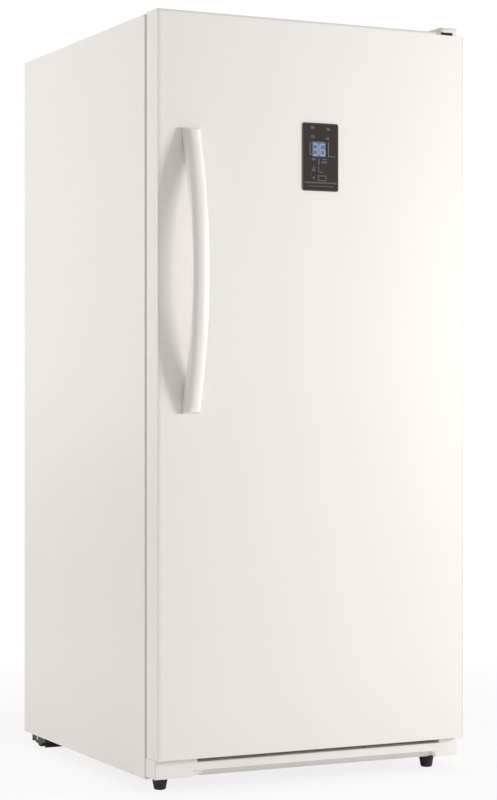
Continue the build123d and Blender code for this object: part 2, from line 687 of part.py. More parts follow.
# Lower hinge: a thick tongue under the door's corner on a leg that is screwed to the front rail.
with BuildPart() as lower_hinge_bracket:
    span_box(
        (LOWER_LEFT, HINGE_RIGHT),
        (LOWER_FRONT, CABINET_FRONT),
        (LOWER_TONGUE, LOWER_TONGUE + LOWER_SHEET),
    )
    fillet(lower_hinge_bracket.edges().filter_by(Axis.Z).group_by(Axis.Y)[0], 5)
    span_box(
        (LOWER_LEFT, LOWER_LEG_RIGHT),
        (CABINET_FRONT - HINGE_SHEET, CABINET_FRONT),
        (LOWER_LEG_BOTTOM, LOWER_TONGUE),
    )
    for screw_x in LOWER_SCREWS_X:
        hole_start = (screw_x, CABINET_FRONT - 2 * HINGE_SHEET, LOWER_SCREWS_Z)
        hole_radius = HINGE_SCREW_RADIUS + SCREW_FIT
        rod(hole_start, (0, 1, 0), hole_radius, 3 * HINGE_SHEET, mode=Mode.SUBTRACT)
    hole_start = (PIVOT_X, PIVOT_Y, LOWER_TONGUE - SHEET)
    rod(hole_start, UP, PIN_RADIUS + SCREW_FIT, 2 * LOWER_SHEET, mode=Mode.SUBTRACT)
finish(lower_hinge_bracket, "lower_hinge_bracket")

# Hinge pins: each stands in its tongue and has a collar, which takes the door's weight below.
UPPER_PIN_END = DOOR_TOP - PIN_DEPTH
LOWER_PIN_END = DOOR_BOTTOM + PIN_DEPTH
COLLAR_GAP = 0.6
UPPER_COLLAR = 2.0
with BuildPart() as hinge_pins:
    upper_pin_top = HINGE_TONGUE + HINGE_SHEET
    rod((PIVOT_X, PIVOT_Y, UPPER_PIN_END), UP, PIN_RADIUS, upper_pin_top - UPPER_PIN_END)
    rod((PIVOT_X, PIVOT_Y, upper_pin_top), UP, COLLAR_RADIUS, HINGE_SHEET)
    rod((PIVOT_X, PIVOT_Y, HINGE_TONGUE - UPPER_COLLAR), UP, COLLAR_RADIUS, UPPER_COLLAR)
    rod((PIVOT_X, PIVOT_Y, LOWER_TONGUE), UP, PIN_RADIUS, LOWER_PIN_END - LOWER_TONGUE)
    collar_height = DOOR_BOTTOM - COLLAR_GAP - LOWER_TONGUE - LOWER_SHEET
    rod((PIVOT_X, PIVOT_Y, LOWER_TONGUE + LOWER_SHEET), UP, COLLAR_RADIUS, collar_height)
finish(hinge_pins, "hinge_pins")

# Hinge screws: three down into the cabinet's top, two back into the front rail.
SCREW_HEAD_RADIUS = 4.5
SCREW_HEAD_HEIGHT = 2.5
with BuildPart() as hinge_screws:
    for screw_x, screw_y in HINGE_SCREWS:
        screw_top = CABINET_TOP + HINGE_SHEET
        screw_start = (screw_x, screw_y, CABINET_TOP - HINGE_SCREW_LENGTH + 1)
        rod(screw_start, UP, HINGE_SCREW_RADIUS, screw_top - screw_start[2])
        rod((screw_x, screw_y, screw_top), UP, SCREW_HEAD_RADIUS, SCREW_HEAD_HEIGHT)
    for screw_x in LOWER_SCREWS_X:
        head_start = (screw_x, CABINET_FRONT - HINGE_SHEET - SCREW_HEAD_HEIGHT, LOWER_SCREWS_Z)
        rod(head_start, (0, 1, 0), SCREW_HEAD_RADIUS, SCREW_HEAD_HEIGHT)
        rod(head_start, (0, 1, 0), HINGE_SCREW_RADIUS, HINGE_SCREW_LENGTH)
finish(hinge_screws, "hinge_screws")

# Domed plastic cover over the upper hinge.  It stands clear of the door's top, but for an apron
# at its front, which hangs into the door's notch and has a window in it.
COVER_OVER_DOOR = DOOR_TOP + 2.0
COVER_APRON_BOTTOM = NOTCH_FLOOR + 1.5
with BuildPart() as hinge_cover:
    cover_x = (COVER_LEFT, COVER_RIGHT)
    span_box(cover_x, (COVER_FRONT, COVER_BACK), (COVER_APRON_BOTTOM, COVER_TOP))
    fillet(hinge_cover.edges().filter_by(Axis.Z), COVER_CORNER)
    fillet(hinge_cover.faces().sort_by(Axis.Z)[-1].edges(), COVER_ROUND)
    offset(amount=-COVER_WALL, openings=hinge_cover.faces().sort_by(Axis.Z)[0])
    clear_z = (COVER_APRON_BOTTOM - 1, COVER_OVER_DOOR)
    behind_apron = (COVER_APRON_BACK, CABINET_FRONT)
    on_cabinet = (CABINET_FRONT - 1, COVER_BACK + 1)
    span_box((COVER_LEFT - 1, COVER_RIGHT + 1), behind_apron, clear_z, mode=Mode.SUBTRACT)
    span_box(COVER_WINDOW, (COVER_FRONT - 1, COVER_APRON_BACK + 1), clear_z, mode=Mode.SUBTRACT)
    span_box(
        (COVER_LEFT - 1, COVER_RIGHT + 1),
        on_cabinet,
        (COVER_APRON_BOTTOM - 1, CABINET_TOP),
        mode=Mode.SUBTRACT,
    )
finish(hinge_cover, "hinge_cover")

# ================================================================ interior
# Wire shelves: a rod frame, two cross rods under it and the long wires, all welded.
with BuildPart() as shelf_pattern:
    frame_z = LEDGE_FIRST + SHELF_ROD
    rod_x = SHELF_HALF - SHELF_ROD
    rod_front = SHELF_FRONT + SHELF_ROD
    rod_back = SHELF_BACK - SHELF_ROD
    for side, _ in SIDES:
        rod((side * rod_x, SHELF_FRONT, frame_z), (0, 1, 0), SHELF_ROD, SHELF_BACK - SHELF_FRONT)
    for rod_y in (rod_front, rod_back):
        rod((-SHELF_HALF, rod_y, frame_z), (1, 0, 0), SHELF_ROD, 2 * SHELF_HALF)
    for rod_y in (SHELF_FRONT + 120, SHELF_BACK - 120):
        rod((-rod_x + 4, rod_y, frame_z - 3.4), (1, 0, 0), 2.2, 2 * rod_x - 8)
    wire_pitch = 2 * rod_x / (SHELF_WIRES + 1)
    for wire in range(1, SHELF_WIRES + 1):
        wire_start = (-rod_x + wire * wire_pitch, rod_front, frame_z)
        rod(wire_start, (0, 1, 0), SHELF_WIRE, rod_back - rod_front)

for step, place in SHELF_STEPS:
    with BuildPart() as shelf:
        add(shelf_pattern.part.moved(Location((0, 0, step * LEDGE_PITCH))))
    finish(shelf, f"shelf_{place}")

# Plastic basket on the cavity's floor, in front of the step, with slotted sides and a finger grip.
BASKET_BOTTOM = CAVITY_FLOOR
with BuildPart() as bottom_basket:
    basket_z = (BASKET_BOTTOM, BASKET_BOTTOM + BASKET_HEIGHT)
    span_box((-BASKET_HALF, BASKET_HALF), (BASKET_FRONT, BASKET_BACK), basket_z)
    fillet(bottom_basket.edges().filter_by(Axis.Z), 14)
    offset(amount=-BASKET_WALL, openings=bottom_basket.faces().sort_by(Axis.Z)[-1])
    basket_middle = BASKET_BOTTOM + BASKET_HEIGHT / 2
    with BuildSketch(Plane((0, BASKET_FRONT - 1, basket_middle), x_dir=(1, 0, 0), z_dir=(0, -1, 0))):
        with GridLocations(30, 0, 16, 1):
            SlotOverall(90, 12, rotation=90)
    extrude(amount=-BASKET_WALL - 2, mode=Mode.SUBTRACT)
    grip_z = BASKET_BOTTOM + BASKET_HEIGHT - 22
    with BuildSketch(Plane((0, BASKET_FRONT - 1, grip_z), x_dir=(1, 0, 0), z_dir=(0, -1, 0))):
        SlotOverall(130, 26)
    extrude(amount=-BASKET_WALL - 2, mode=Mode.SUBTRACT)
finish(bottom_basket, "bottom_basket")

# Ceiling light: a translucent cover over a small board of light-emitting diodes.
with BuildPart() as light_cover:
    light_z = (CAVITY_TOP - LIGHT_DEPTH, CAVITY_TOP)
    span_box((-LIGHT_HALF, LIGHT_HALF), (LIGHT_FRONT, LIGHT_BACK), light_z)
    fillet(light_cover.edges().filter_by(Axis.Z), 10)
    fillet(light_cover.faces().sort_by(Axis.Z)[0].edges(), 4)
    offset(amount=-1.6, openings=light_cover.faces().sort_by(Axis.Z)[-1])
finish(light_cover, "light_cover")

with BuildPart() as light_board:
    board_z = (CAVITY_TOP - 1.6, CAVITY_TOP)
    light_middle = (LIGHT_FRONT + LIGHT_BACK) / 2
    span_box((-LIGHT_HALF + 12, LIGHT_HALF - 12), (light_middle - 15, light_middle + 15), board_z)
    with Locations((0, light_middle, CAVITY_TOP - 2.4)):
        with GridLocations(22, 0, 5, 1):
            Box(5, 5, 1.6)
finish(light_board, "light_board")

# Duct cover: the white panel over the evaporator, with the fan's outlet above and a return below.
OUTLET_PITCH = 12.0
with BuildPart() as duct_cover:
    span_box((-DUCT_HALF, DUCT_HALF), (DUCT_FRONT, CAVITY_BACK), (STEP_TOP, DUCT_TOP))
    fillet(duct_cover.edges().filter_by(Axis.Z).group_by(Axis.Y)[0], 14)
    fillet(duct_cover.edges().filter_by(Axis.X).group_by(Axis.Y)[0].sort_by(Axis.Z)[-1:], 10)
    span_box(
        (-DUCT_HALF + DUCT_WALL, DUCT_HALF - DUCT_WALL),
        (DUCT_FRONT + 4 * DUCT_WALL, CAVITY_BACK + 1),
        (STEP_TOP - 1, DUCT_TOP - DUCT_WALL),
        mode=Mode.SUBTRACT,
    )
    span_box(
        (-DUCT_HALF + 6 * DUCT_WALL, DUCT_HALF - 6 * DUCT_WALL),
        (DUCT_FRONT + DUCT_WALL, CAVITY_BACK + 1),
        (STEP_TOP - 1, DUCT_TOP - 5 * DUCT_WALL),
        mode=Mode.SUBTRACT,
    )
    with BuildSketch(Plane((0, DUCT_FRONT - 1, FAN_Z), x_dir=(1, 0, 0), z_dir=(0, -1, 0))):
        for row in range(-4, 5):
            row_z = row * OUTLET_PITCH
            with Locations((0, row_z)):
                SlotOverall(2 * sqrt(FAN_RADIUS**2 - row_z**2) + 6, OUTLET_PITCH / 2)
    extrude(amount=-DUCT_WALL - 2, mode=Mode.SUBTRACT)
    with BuildSketch(Plane((0, DUCT_FRONT - 1, 408), x_dir=(1, 0, 0), z_dir=(0, -1, 0))):
        with GridLocations(17, 0, 26, 1):
            SlotOverall(34, 7, rotation=90)
    extrude(amount=-DUCT_WALL - 2, mode=Mode.SUBTRACT)
finish(duct_cover, "duct_cover")

# Evaporator: one tube bent to and fro through a stack of thin upright fins.
with BuildPart() as evaporator:
    coil_plane = Plane((0, COIL_Y, COIL_BOTTOM), x_dir=(1, 0, 0), z_dir=(0, -1, 0))
    with BuildLine(coil_plane) as coil_path:
        FilletPolyline(*serpentine(COIL_HALF, COIL_PITCH, COIL_PASSES), radius=COIL_BEND)
    with BuildSketch(Plane(coil_path.line @ 0, z_dir=coil_path.line % 0)):
        Circle(COIL_TUBE)
    sweep(path=coil_path.line)
    coil_middle = COIL_BOTTOM + COIL_PITCH * (COIL_PASSES - 1) / 2
    with Locations((0, COIL_Y, coil_middle)):
        with GridLocations(FIN_PITCH, 0, FIN_COUNT, 1):
            Box(0.8, 44, COIL_PITCH * COIL_PASSES - 24)
finish(evaporator, "evaporator")

# Defrost heater: a sheathed rod on two posts under the coil.
HEATER_Z = 404.0
TROUGH_TOP = STEP_TOP + 18
with BuildPart() as defrost_heater:
    rod((-205, COIL_Y, HEATER_Z), (1, 0, 0), 3.5, 410)
    for post_x in (-150, 150):
        span_box((post_x - 4, post_x + 4), (COIL_Y - 2, COIL_Y + 2), (STEP_TOP + 2, HEATER_Z))
finish(defrost_heater, "defrost_heater")

# Drain trough under the coil; its tube leads the melted frost down to the pan.
with BuildPart() as defrost_drain:
    span_box((-230, 230), (DUCT_FRONT + 8, CAVITY_BACK - 2), (STEP_TOP, TROUGH_TOP))
    span_box(
        (-228, 228),
        (DUCT_FRONT + 10, CAVITY_BACK - 4),
        (STEP_TOP + 2, TROUGH_TOP + 1),
        mode=Mode.SUBTRACT,
    )
    tube_start = (DRAIN_X, COIL_Y, DRAIN_LOW)
    tube_length = STEP_TOP - DRAIN_LOW
    rod(tube_start, UP, DRAIN_RADIUS, tube_length)
    rod(tube_start, UP, DRAIN_RADIUS - 1.5, tube_length + 3, mode=Mode.SUBTRACT)
finish(defrost_drain, "defrost_drain")

# Evaporator fan: a motor on a plate against the cavity's back, and the fan on its shaft.
with BuildPart() as evaporator_fan_motor:
    span_box((-60, 60), (CAVITY_BACK - 3, CAVITY_BACK), (FAN_Z - 30, FAN_Z + 30))
    rod((0, CAVITY_BACK - 3, FAN_Z), (0, -1, 0), 22, CAVITY_BACK - 3 - FAN_BACK - 4)
    rod((0, CAVITY_BACK - 3, FAN_Z), (0, -1, 0), SHAFT_RADIUS, CAVITY_BACK - 3 - FAN_FRONT - 4)
finish(evaporator_fan_motor, "evaporator_fan_motor")

with BuildPart() as evaporator_fan:
    rod((0, FAN_BACK, FAN_Z), (0, -1, 0), 15, FAN_BACK - FAN_FRONT)
    blades((0, (FAN_FRONT + FAN_BACK) / 2, FAN_Z), (0, -1, 0), 15, FAN_RADIUS - 2, 5, 22, 32)
    bore_radius = SHAFT_RADIUS + RUNNING_FIT
    rod((0, FAN_BACK + 1, FAN_Z), (0, -1, 0), bore_radius, FAN_BACK - FAN_FRONT - 1, mode=Mode.SUBTRACT)
finish(evaporator_fan, "evaporator_fan")

# ================================================================ compressor space
# Compressor: a welded steel can on a four-legged foot plate.
CAN_SEAM = 148.0
FOOT_PLATE_BOTTOM = CAN_BOTTOM - 4
with BuildPart() as compressor:
    with BuildSketch(Plane.XZ.offset(-COMPRESSOR_Y)):
        with BuildLine():
            Polyline(
                (COMPRESSOR_X, CAN_TOP),
                (COMPRESSOR_X, CAN_BOTTOM),
                (COMPRESSOR_X + CAN_RADIUS - 14, CAN_BOTTOM),
                (COMPRESSOR_X + CAN_RADIUS, CAN_BOTTOM + 14),
                (COMPRESSOR_X + CAN_RADIUS, CAN_SEAM),
                (COMPRESSOR_X + CAN_RADIUS + 4, CAN_SEAM),
                (COMPRESSOR_X + CAN_RADIUS + 4, CAN_SEAM + 4),
                (COMPRESSOR_X + CAN_RADIUS, CAN_SEAM + 4),
                (COMPRESSOR_X + CAN_RADIUS, CAN_TOP - 40),
            )
            RadiusArc(
                (COMPRESSOR_X + CAN_RADIUS, CAN_TOP - 40), (COMPRESSOR_X + 40, CAN_TOP - 2), -44
            )
            Line((COMPRESSOR_X + 40, CAN_TOP - 2), (COMPRESSOR_X, CAN_TOP))
        make_face()
    revolve(axis=Axis((COMPRESSOR_X, COMPRESSOR_Y, 0), UP))
    with Locations((COMPRESSOR_X, COMPRESSOR_Y, FOOT_PLATE_BOTTOM + 2)):
        Box(2 * MOUNT_X + 30, 2 * MOUNT_Y + 30, 4)
        with GridLocations(2 * MOUNT_X, 2 * MOUNT_Y, 2, 2):
            Cylinder(MOUNT_RADIUS + 2, 5, mode=Mode.SUBTRACT)
finish(compressor, "compressor")

# Rubber grommets that carry the compressor on the plate's bolts.
with BuildPart() as compressor_grommets:
    with Locations((COMPRESSOR_X, COMPRESSOR_Y, PLATE_BOTTOM + PLATE_SHEET)):
        with GridLocations(2 * MOUNT_X, 2 * MOUNT_Y, 2, 2):
            grommet_height = FOOT_PLATE_BOTTOM - PLATE_BOTTOM - PLATE_SHEET
            Cylinder(11, grommet_height, align=(Align.CENTER, Align.CENTER, Align.MIN))
            Cylinder(
                MOUNT_RADIUS + SCREW_FIT,
                grommet_height,
                align=(Align.CENTER, Align.CENTER, Align.MIN),
                mode=Mode.SUBTRACT,
            )
finish(compressor_grommets, "compressor_grommets")

# Cover of the start relay, against the can's side.
with BuildPart() as relay_cover:
    span_box(
        (COMPRESSOR_X - CAN_RADIUS - 30, COMPRESSOR_X - CAN_RADIUS + 8),
        (COMPRESSOR_Y - 26, COMPRESSOR_Y + 26),
        (84, 140),
    )
    fillet(relay_cover.edges().filter_by(Axis.Z).group_by(Axis.X)[0], 5)
    add(compressor.part, mode=Mode.SUBTRACT)
finish(relay_cover, "relay_cover")

# Drain pan on the compressor's warm top, where the melted frost dries off.
with BuildPart() as drain_pan:
    span_box((PAN_LEFT, PAN_RIGHT), (195, 398), (PAN_BOTTOM, PAN_TOP))
    fillet(drain_pan.edges().filter_by(Axis.Z), 12)
    offset(amount=-2, openings=drain_pan.faces().sort_by(Axis.Z)[-1])
finish(drain_pan, "drain_pan")

# Condenser: one tube bent to and fro through upright fins, with a fan beside it.
with BuildPart() as condenser:
    coil_plane = Plane((CONDENSER_X, BLOWER_Y, CONDENSER_BOTTOM), x_dir=(0, 1, 0), z_dir=(1, 0, 0))
    with BuildLine(coil_plane) as condenser_path:
        FilletPolyline(*serpentine(CONDENSER_HALF, CONDENSER_PITCH, CONDENSER_PASSES), radius=13)
    with BuildSketch(Plane(condenser_path.line @ 0, z_dir=condenser_path.line % 0)):
        Circle(3.5)
    sweep(path=condenser_path.line)
    condenser_middle = CONDENSER_BOTTOM + CONDENSER_PITCH * (CONDENSER_PASSES - 1) / 2
    with Locations((CONDENSER_X, BLOWER_Y, condenser_middle)):
        with GridLocations(0, 10, 1, 15):
            Box(50, 0.8, CONDENSER_PITCH * CONDENSER_PASSES + 10)
    for rail_x in (CONDENSER_X - 20, CONDENSER_X + 16):
        span_box(
            (rail_x, rail_x + 4),
            (BLOWER_Y - 75, BLOWER_Y + 75),
            (PLATE_BOTTOM + PLATE_SHEET, CONDENSER_BOTTOM - 12),
        )
finish(condenser, "condenser")

# Condenser fan: shroud and motor as one fixed piece, and the fan on its shaft.
with BuildPart() as condenser_fan_motor:
    span_box(
        (SHROUD_X, SHROUD_X + 3),
        (BLOWER_Y - 95, BLOWER_Y + 95),
        (PLATE_BOTTOM + PLATE_SHEET, BLOWER_Z + 95),
    )
    rod((SHROUD_X - 1, BLOWER_Y, BLOWER_Z), (1, 0, 0), BLOWER_RADIUS + 5, 5, mode=Mode.SUBTRACT)
    strap_z = (BLOWER_Z - 9, BLOWER_Z + 9)
    span_box((SHROUD_X + 20, SHROUD_X + 24), (BLOWER_Y - 92, BLOWER_Y + 92), strap_z)
    for leg_y in (BLOWER_Y - 92, BLOWER_Y + 88):
        span_box((SHROUD_X, SHROUD_X + 24), (leg_y, leg_y + 4), strap_z)
    rod((SHROUD_X + 20, BLOWER_Y, BLOWER_Z), (1, 0, 0), 24, 34)
    rod((SHROUD_X - 2, BLOWER_Y, BLOWER_Z), (1, 0, 0), SHAFT_RADIUS, 24)
finish(condenser_fan_motor, "condenser_fan_motor")

with BuildPart() as condenser_fan:
    hub_start = SHROUD_X - 10
    rod((hub_start, BLOWER_Y, BLOWER_Z), (1, 0, 0), 18, 22)
    blades((hub_start + 11, BLOWER_Y, BLOWER_Z), (1, 0, 0), 18, BLOWER_RADIUS, 5, 26, 30)
    bore_radius = SHAFT_RADIUS + RUNNING_FIT
    rod((SHROUD_X - 3, BLOWER_Y, BLOWER_Z), (1, 0, 0), bore_radius, 16, mode=Mode.SUBTRACT)
finish(condenser_fan, "condenser_fan")

# Filter drier: a round can that necks down to the copper lines at both ends.
DRIER_X = -250.0
DRIER_Y = 240.0
DRIER_BOTTOM = 120.0
DRIER_TOP = 250.0
DRIER_RADIUS = 10.0
with BuildPart() as filter_drier:
    rod((DRIER_X, DRIER_Y, DRIER_BOTTOM), UP, 4, DRIER_TOP - DRIER_BOTTOM)
    rod((DRIER_X, DRIER_Y, DRIER_BOTTOM + 12), UP, DRIER_RADIUS, DRIER_TOP - DRIER_BOTTOM - 24)
    rings = filter_drier.edges().filter_by(GeomType.CIRCLE)
    chamfer(rings.filter_by(lambda ring: ring.radius > DRIER_RADIUS - 1), 5)
finish(filter_drier, "filter_drier")

# Copper lines: from compressor to condenser, on to the drier, up to the evaporator and back.

LINE_RADIUS = 3.0
LINE_FRONT = 190.0
LINE_BACK = 392.0
CONDENSER_START = BLOWER_Y - CONDENSER_HALF
CONDENSER_TOP = CONDENSER_BOTTOM + CONDENSER_PITCH * (CONDENSER_PASSES - 1)
DISCHARGE_X = COMPRESSOR_X - 30
DISCHARGE_ROUTE = (
    (DISCHARGE_X, COMPRESSOR_Y - 66, CONDENSER_BOTTOM),
    (DISCHARGE_X, LINE_FRONT, CONDENSER_BOTTOM),
    (CONDENSER_X, LINE_FRONT, CONDENSER_BOTTOM),
    (CONDENSER_X, CONDENSER_START, CONDENSER_BOTTOM),
)
CONDENSER_ROUTE = (
    (CONDENSER_X, CONDENSER_START, CONDENSER_TOP),
    (CONDENSER_X, LINE_FRONT, CONDENSER_TOP),
    (DRIER_X, LINE_FRONT, CONDENSER_TOP),
    (DRIER_X, LINE_FRONT, DRIER_BOTTOM - 20),
    (DRIER_X, DRIER_Y, DRIER_BOTTOM - 20),
    (DRIER_X, DRIER_Y, DRIER_BOTTOM),
)
LIQUID_ROUTE = (
    (DRIER_X, DRIER_Y, DRIER_TOP),
    (DRIER_X, DRIER_Y, DRIER_TOP + 36),
    (DRIER_X, LINE_BACK, DRIER_TOP + 36),
    (DRIER_X, LINE_BACK, ENGINE_TOP - FLOOR_SHEET),
)
SUCTION_ROUTE = (
    (COMPRESSOR_X, COMPRESSOR_Y + 72, 120),
    (COMPRESSOR_X, LINE_BACK, 120),
    (10, LINE_BACK, 120),
    (10, LINE_BACK, ENGINE_TOP - FLOOR_SHEET),
)
with BuildPart() as refrigerant_lines:
    for route in (DISCHARGE_ROUTE, CONDENSER_ROUTE, LIQUID_ROUTE, SUCTION_ROUTE):
        with BuildLine() as line_path:
            FilletPolyline(*route, radius=10)
        with BuildSketch(Plane(line_path.line @ 0, z_dir=line_path.line % 0)):
            Circle(LINE_RADIUS)
        sweep(path=line_path.line)
    add(compressor.part, mode=Mode.SUBTRACT)
finish(refrigerant_lines, "refrigerant_lines")

# Box of the main electronic board, on the right side wall.
with BuildPart() as main_board_box:
    box_x = (HALF_WIDTH - SHEET - 50, HALF_WIDTH - SHEET)
    span_box(box_x, (215, 345), (90, 215))
    fillet(main_board_box.edges().group_by(Axis.X)[0], 4)
finish(main_board_box, "main_board_box")

# Slotted cover over the back of the compressor space, and the bushing where the mains lead enters.
GLAND_X = 300.0
GLAND_Z = 95.0
REAR_COVER_FRONT = PLATE_BACK
with BuildPart() as rear_cover:
    cover_x = (-HALF_WIDTH + SHEET, HALF_WIDTH - SHEET)
    span_box(cover_x, (REAR_COVER_FRONT, REAR_COVER_FRONT + 2), (PLATE_BOTTOM, ENGINE_TOP - FLOOR_SHEET))
    slot_plane = Plane((0, REAR_COVER_FRONT - 1, 180), x_dir=(1, 0, 0), z_dir=(0, -1, 0))
    with BuildSketch(slot_plane):
        with GridLocations(190, 16, 3, 10):
            SlotOverall(150, 7)
    extrude(amount=-4, mode=Mode.SUBTRACT)
    rod((GLAND_X, REAR_COVER_FRONT - 1, GLAND_Z), (0, 1, 0), 9 + SCREW_FIT, 4, mode=Mode.SUBTRACT)
finish(rear_cover, "rear_cover")

with BuildPart() as cord_gland:
    rod((GLAND_X, REAR_COVER_FRONT - 4, GLAND_Z), (0, 1, 0), 9, 8)
    rod((GLAND_X, REAR_COVER_FRONT - 4, GLAND_Z), (0, 1, 0), 12, 4)
    rod((GLAND_X, REAR_COVER_FRONT + 2, GLAND_Z), (0, 1, 0), 13, 4)
    rod((GLAND_X, REAR_COVER_FRONT - 5, GLAND_Z), (0, 1, 0), 4.2, 20, mode=Mode.SUBTRACT)
finish(cord_gland, "cord_gland")

# ================================================================ door
PANEL_BOTTOM = DOOR_BOTTOM + BOTTOM_CAP_HEIGHT
PANEL_TOP = DOOR_TOP - TOP_CAP_HEIGHT
DOOR_SPAN = (-HALF_WIDTH, HALF_WIDTH)
TUB_HALF_WIDTH = CONTROL_WIDTH / 2 - CONTROL_TUB_INSET
TUB_HALF_HEIGHT = CONTROL_HEIGHT / 2 - CONTROL_TUB_INSET
TUB_BACK = DOOR_FRONT + CONTROL_TUB_DEPTH
TUB_X = (CONTROL_X - TUB_HALF_WIDTH, CONTROL_X + TUB_HALF_WIDTH)
TUB_Z = (CONTROL_Z - TUB_HALF_HEIGHT, CONTROL_Z + TUB_HALF_HEIGHT)
HANDLE_SCREWS = [
    (HANDLE_X + edge * HANDLE_SCREW_SPACING / 2, screw_z)
    for edge in (-1, 1)
    for screw_z in (HANDLE_BOTTOM + HANDLE_SCREW_INSET, HANDLE_TOP - HANDLE_SCREW_INSET)
]

# Painted steel front, folded back round both sides, with a fine groove beside each front edge.
with BuildPart() as door_panel:
    span_box(DOOR_SPAN, (DOOR_FRONT, DOOR_BACK), (PANEL_BOTTOM, PANEL_TOP))
    fillet(door_panel.edges().filter_by(Axis.Z).group_by(Axis.Y)[0], SHELL_CORNER)
    span_box(
        (-HALF_WIDTH + SHEET, HALF_WIDTH - SHEET),
        (DOOR_FRONT + SHEET, DOOR_BACK - SHEET),
        (PANEL_BOTTOM - SHEET, PANEL_TOP + SHEET),
        mode=Mode.SUBTRACT,
    )
    span_box(
        (-HALF_WIDTH + RETURN_WIDTH, HALF_WIDTH - RETURN_WIDTH),
        (DOOR_BACK - 2 * SHEET, DOOR_BACK + SHEET),
        (PANEL_BOTTOM - SHEET, PANEL_TOP + SHEET),
        mode=Mode.SUBTRACT,
    )
    for side, _ in SIDES:
        groove_x = (side * GROOVE_X - GROOVE_WIDTH / 2, side * GROOVE_X + GROOVE_WIDTH / 2)
        groove_y = (DOOR_FRONT - SHEET, DOOR_FRONT + GROOVE_DEPTH)
        span_box(groove_x, groove_y, (PANEL_BOTTOM - SHEET, PANEL_TOP + SHEET), mode=Mode.SUBTRACT)
    span_box(TUB_X, (DOOR_FRONT - SHEET, DOOR_FRONT + 2 * SHEET), TUB_Z, mode=Mode.SUBTRACT)
    for screw_x, screw_z in HANDLE_SCREWS:
        hole_start = (screw_x, DOOR_FRONT - SHEET, screw_z)
        hole_radius = HANDLE_SCREW_RADIUS + SCREW_FIT
        rod(hole_start, (0, 1, 0), hole_radius, 3 * SHEET, mode=Mode.SUBTRACT)
finish(door_panel, "door_panel")

# Moulded end caps with rounded front edges, each with a boss that is the bushing of its hinge pin.
# The top one has a notch at its right end, in which the upper hinge's tongue lies.
CAP_ENDS = (
    ("door_bottom_cap", DOOR_BOTTOM, PANEL_BOTTOM, BOTTOM_CAP_ROUND),
    ("door_top_cap", DOOR_TOP, PANEL_TOP, TOP_CAP_ROUND),
)
BOSS_HALF = 11.5
BOSS_X = (PIVOT_X - BOSS_HALF, PIVOT_X + BOSS_HALF)
BOSS_Y = (PIVOT_Y - 2 * BOSS_HALF, RECESS_FACE - LINER)
for cap_name, outer_z, inner_z, front_round in CAP_ENDS:
    inward = 1 if inner_z > outer_z else -1
    with BuildPart() as door_cap:
        span_box(DOOR_SPAN, (DOOR_FRONT, DOOR_BACK), sorted((outer_z, inner_z)))
        outer_face = door_cap.faces().filter_by(Axis.Z).sort_by(Axis.Z)[0 if inward > 0 else -1]
        fillet(outer_face.edges().sort_by(Axis.Y)[0], front_round)
        end_edges = door_cap.faces().filter_by(Axis.X).edges()
        inner_edges = end_edges.group_by(Axis.Z)[-1 if inward > 0 else 0]
        corner_round = min(SHELL_CORNER, front_round)
        fillet(end_edges - inner_edges - end_edges.group_by(Axis.Y)[-1], corner_round)
        if inward < 0:
            notch_y = (DOOR_FRONT - SHEET, DOOR_BACK + SHEET)
            notch_z = (NOTCH_FLOOR, DOOR_TOP + SHEET)
            span_box((NOTCH_LEFT, HALF_WIDTH + SHEET), notch_y, notch_z, mode=Mode.SUBTRACT)
        boss_z = sorted((inner_z, inner_z + inward * CAP_BOSS_HEIGHT))
        span_box(BOSS_X, BOSS_Y, boss_z)
        bore_start = (PIVOT_X, PIVOT_Y, outer_z)
        rod(bore_start, (0, 0, inward), PIN_RADIUS + RUNNING_FIT, PIN_DEPTH + 2, mode=Mode.SUBTRACT)
    finish(door_cap, cap_name)

# Door foam: a slab with a raised dyke, hollowed for the bosses, the control tub and screw heads.
# The liner is hollowed by its whole shape.
FOAM_BACK = DOOR_BACK - LINER
SCREW_HEAD_DEPTH = 3.0
with BuildPart() as door_foam:
    span_box(
        (-HALF_WIDTH + SHEET, HALF_WIDTH - SHEET),
        (DOOR_FRONT + SHEET, FOAM_BACK),
        (PANEL_BOTTOM, PANEL_TOP),
    )
    dyke_outer = DYKE_HALF - LINER
    dyke_inner = DYKE_HALF - DYKE_WIDTH + LINER
    span_box(
        (-dyke_outer, dyke_outer),
        (FOAM_BACK, DYKE_FACE - LINER),
        (DYKE_BOTTOM + LINER, DYKE_TOP - LINER),
    )
    span_box(
        (-dyke_inner, dyke_inner),
        (RECESS_FACE - LINER, DYKE_FACE),
        (DYKE_BOTTOM + DYKE_WIDTH - LINER, DYKE_TOP - DYKE_WIDTH + LINER),
        mode=Mode.SUBTRACT,
    )
    span_box(BOSS_X, BOSS_Y, (PANEL_BOTTOM, PANEL_BOTTOM + CAP_BOSS_HEIGHT), mode=Mode.SUBTRACT)
    span_box(BOSS_X, BOSS_Y, (PANEL_TOP - CAP_BOSS_HEIGHT, PANEL_TOP), mode=Mode.SUBTRACT)
    span_box(TUB_X, (DOOR_FRONT, TUB_BACK), TUB_Z, mode=Mode.SUBTRACT)
    for screw_x, screw_z in HANDLE_SCREWS:
        hole_start = (screw_x, DOOR_FRONT + SHEET, screw_z)
        head_radius = 2 * HANDLE_SCREW_RADIUS + SCREW_FIT
        rod(hole_start, (0, 1, 0), head_radius, SCREW_HEAD_DEPTH, mode=Mode.SUBTRACT)

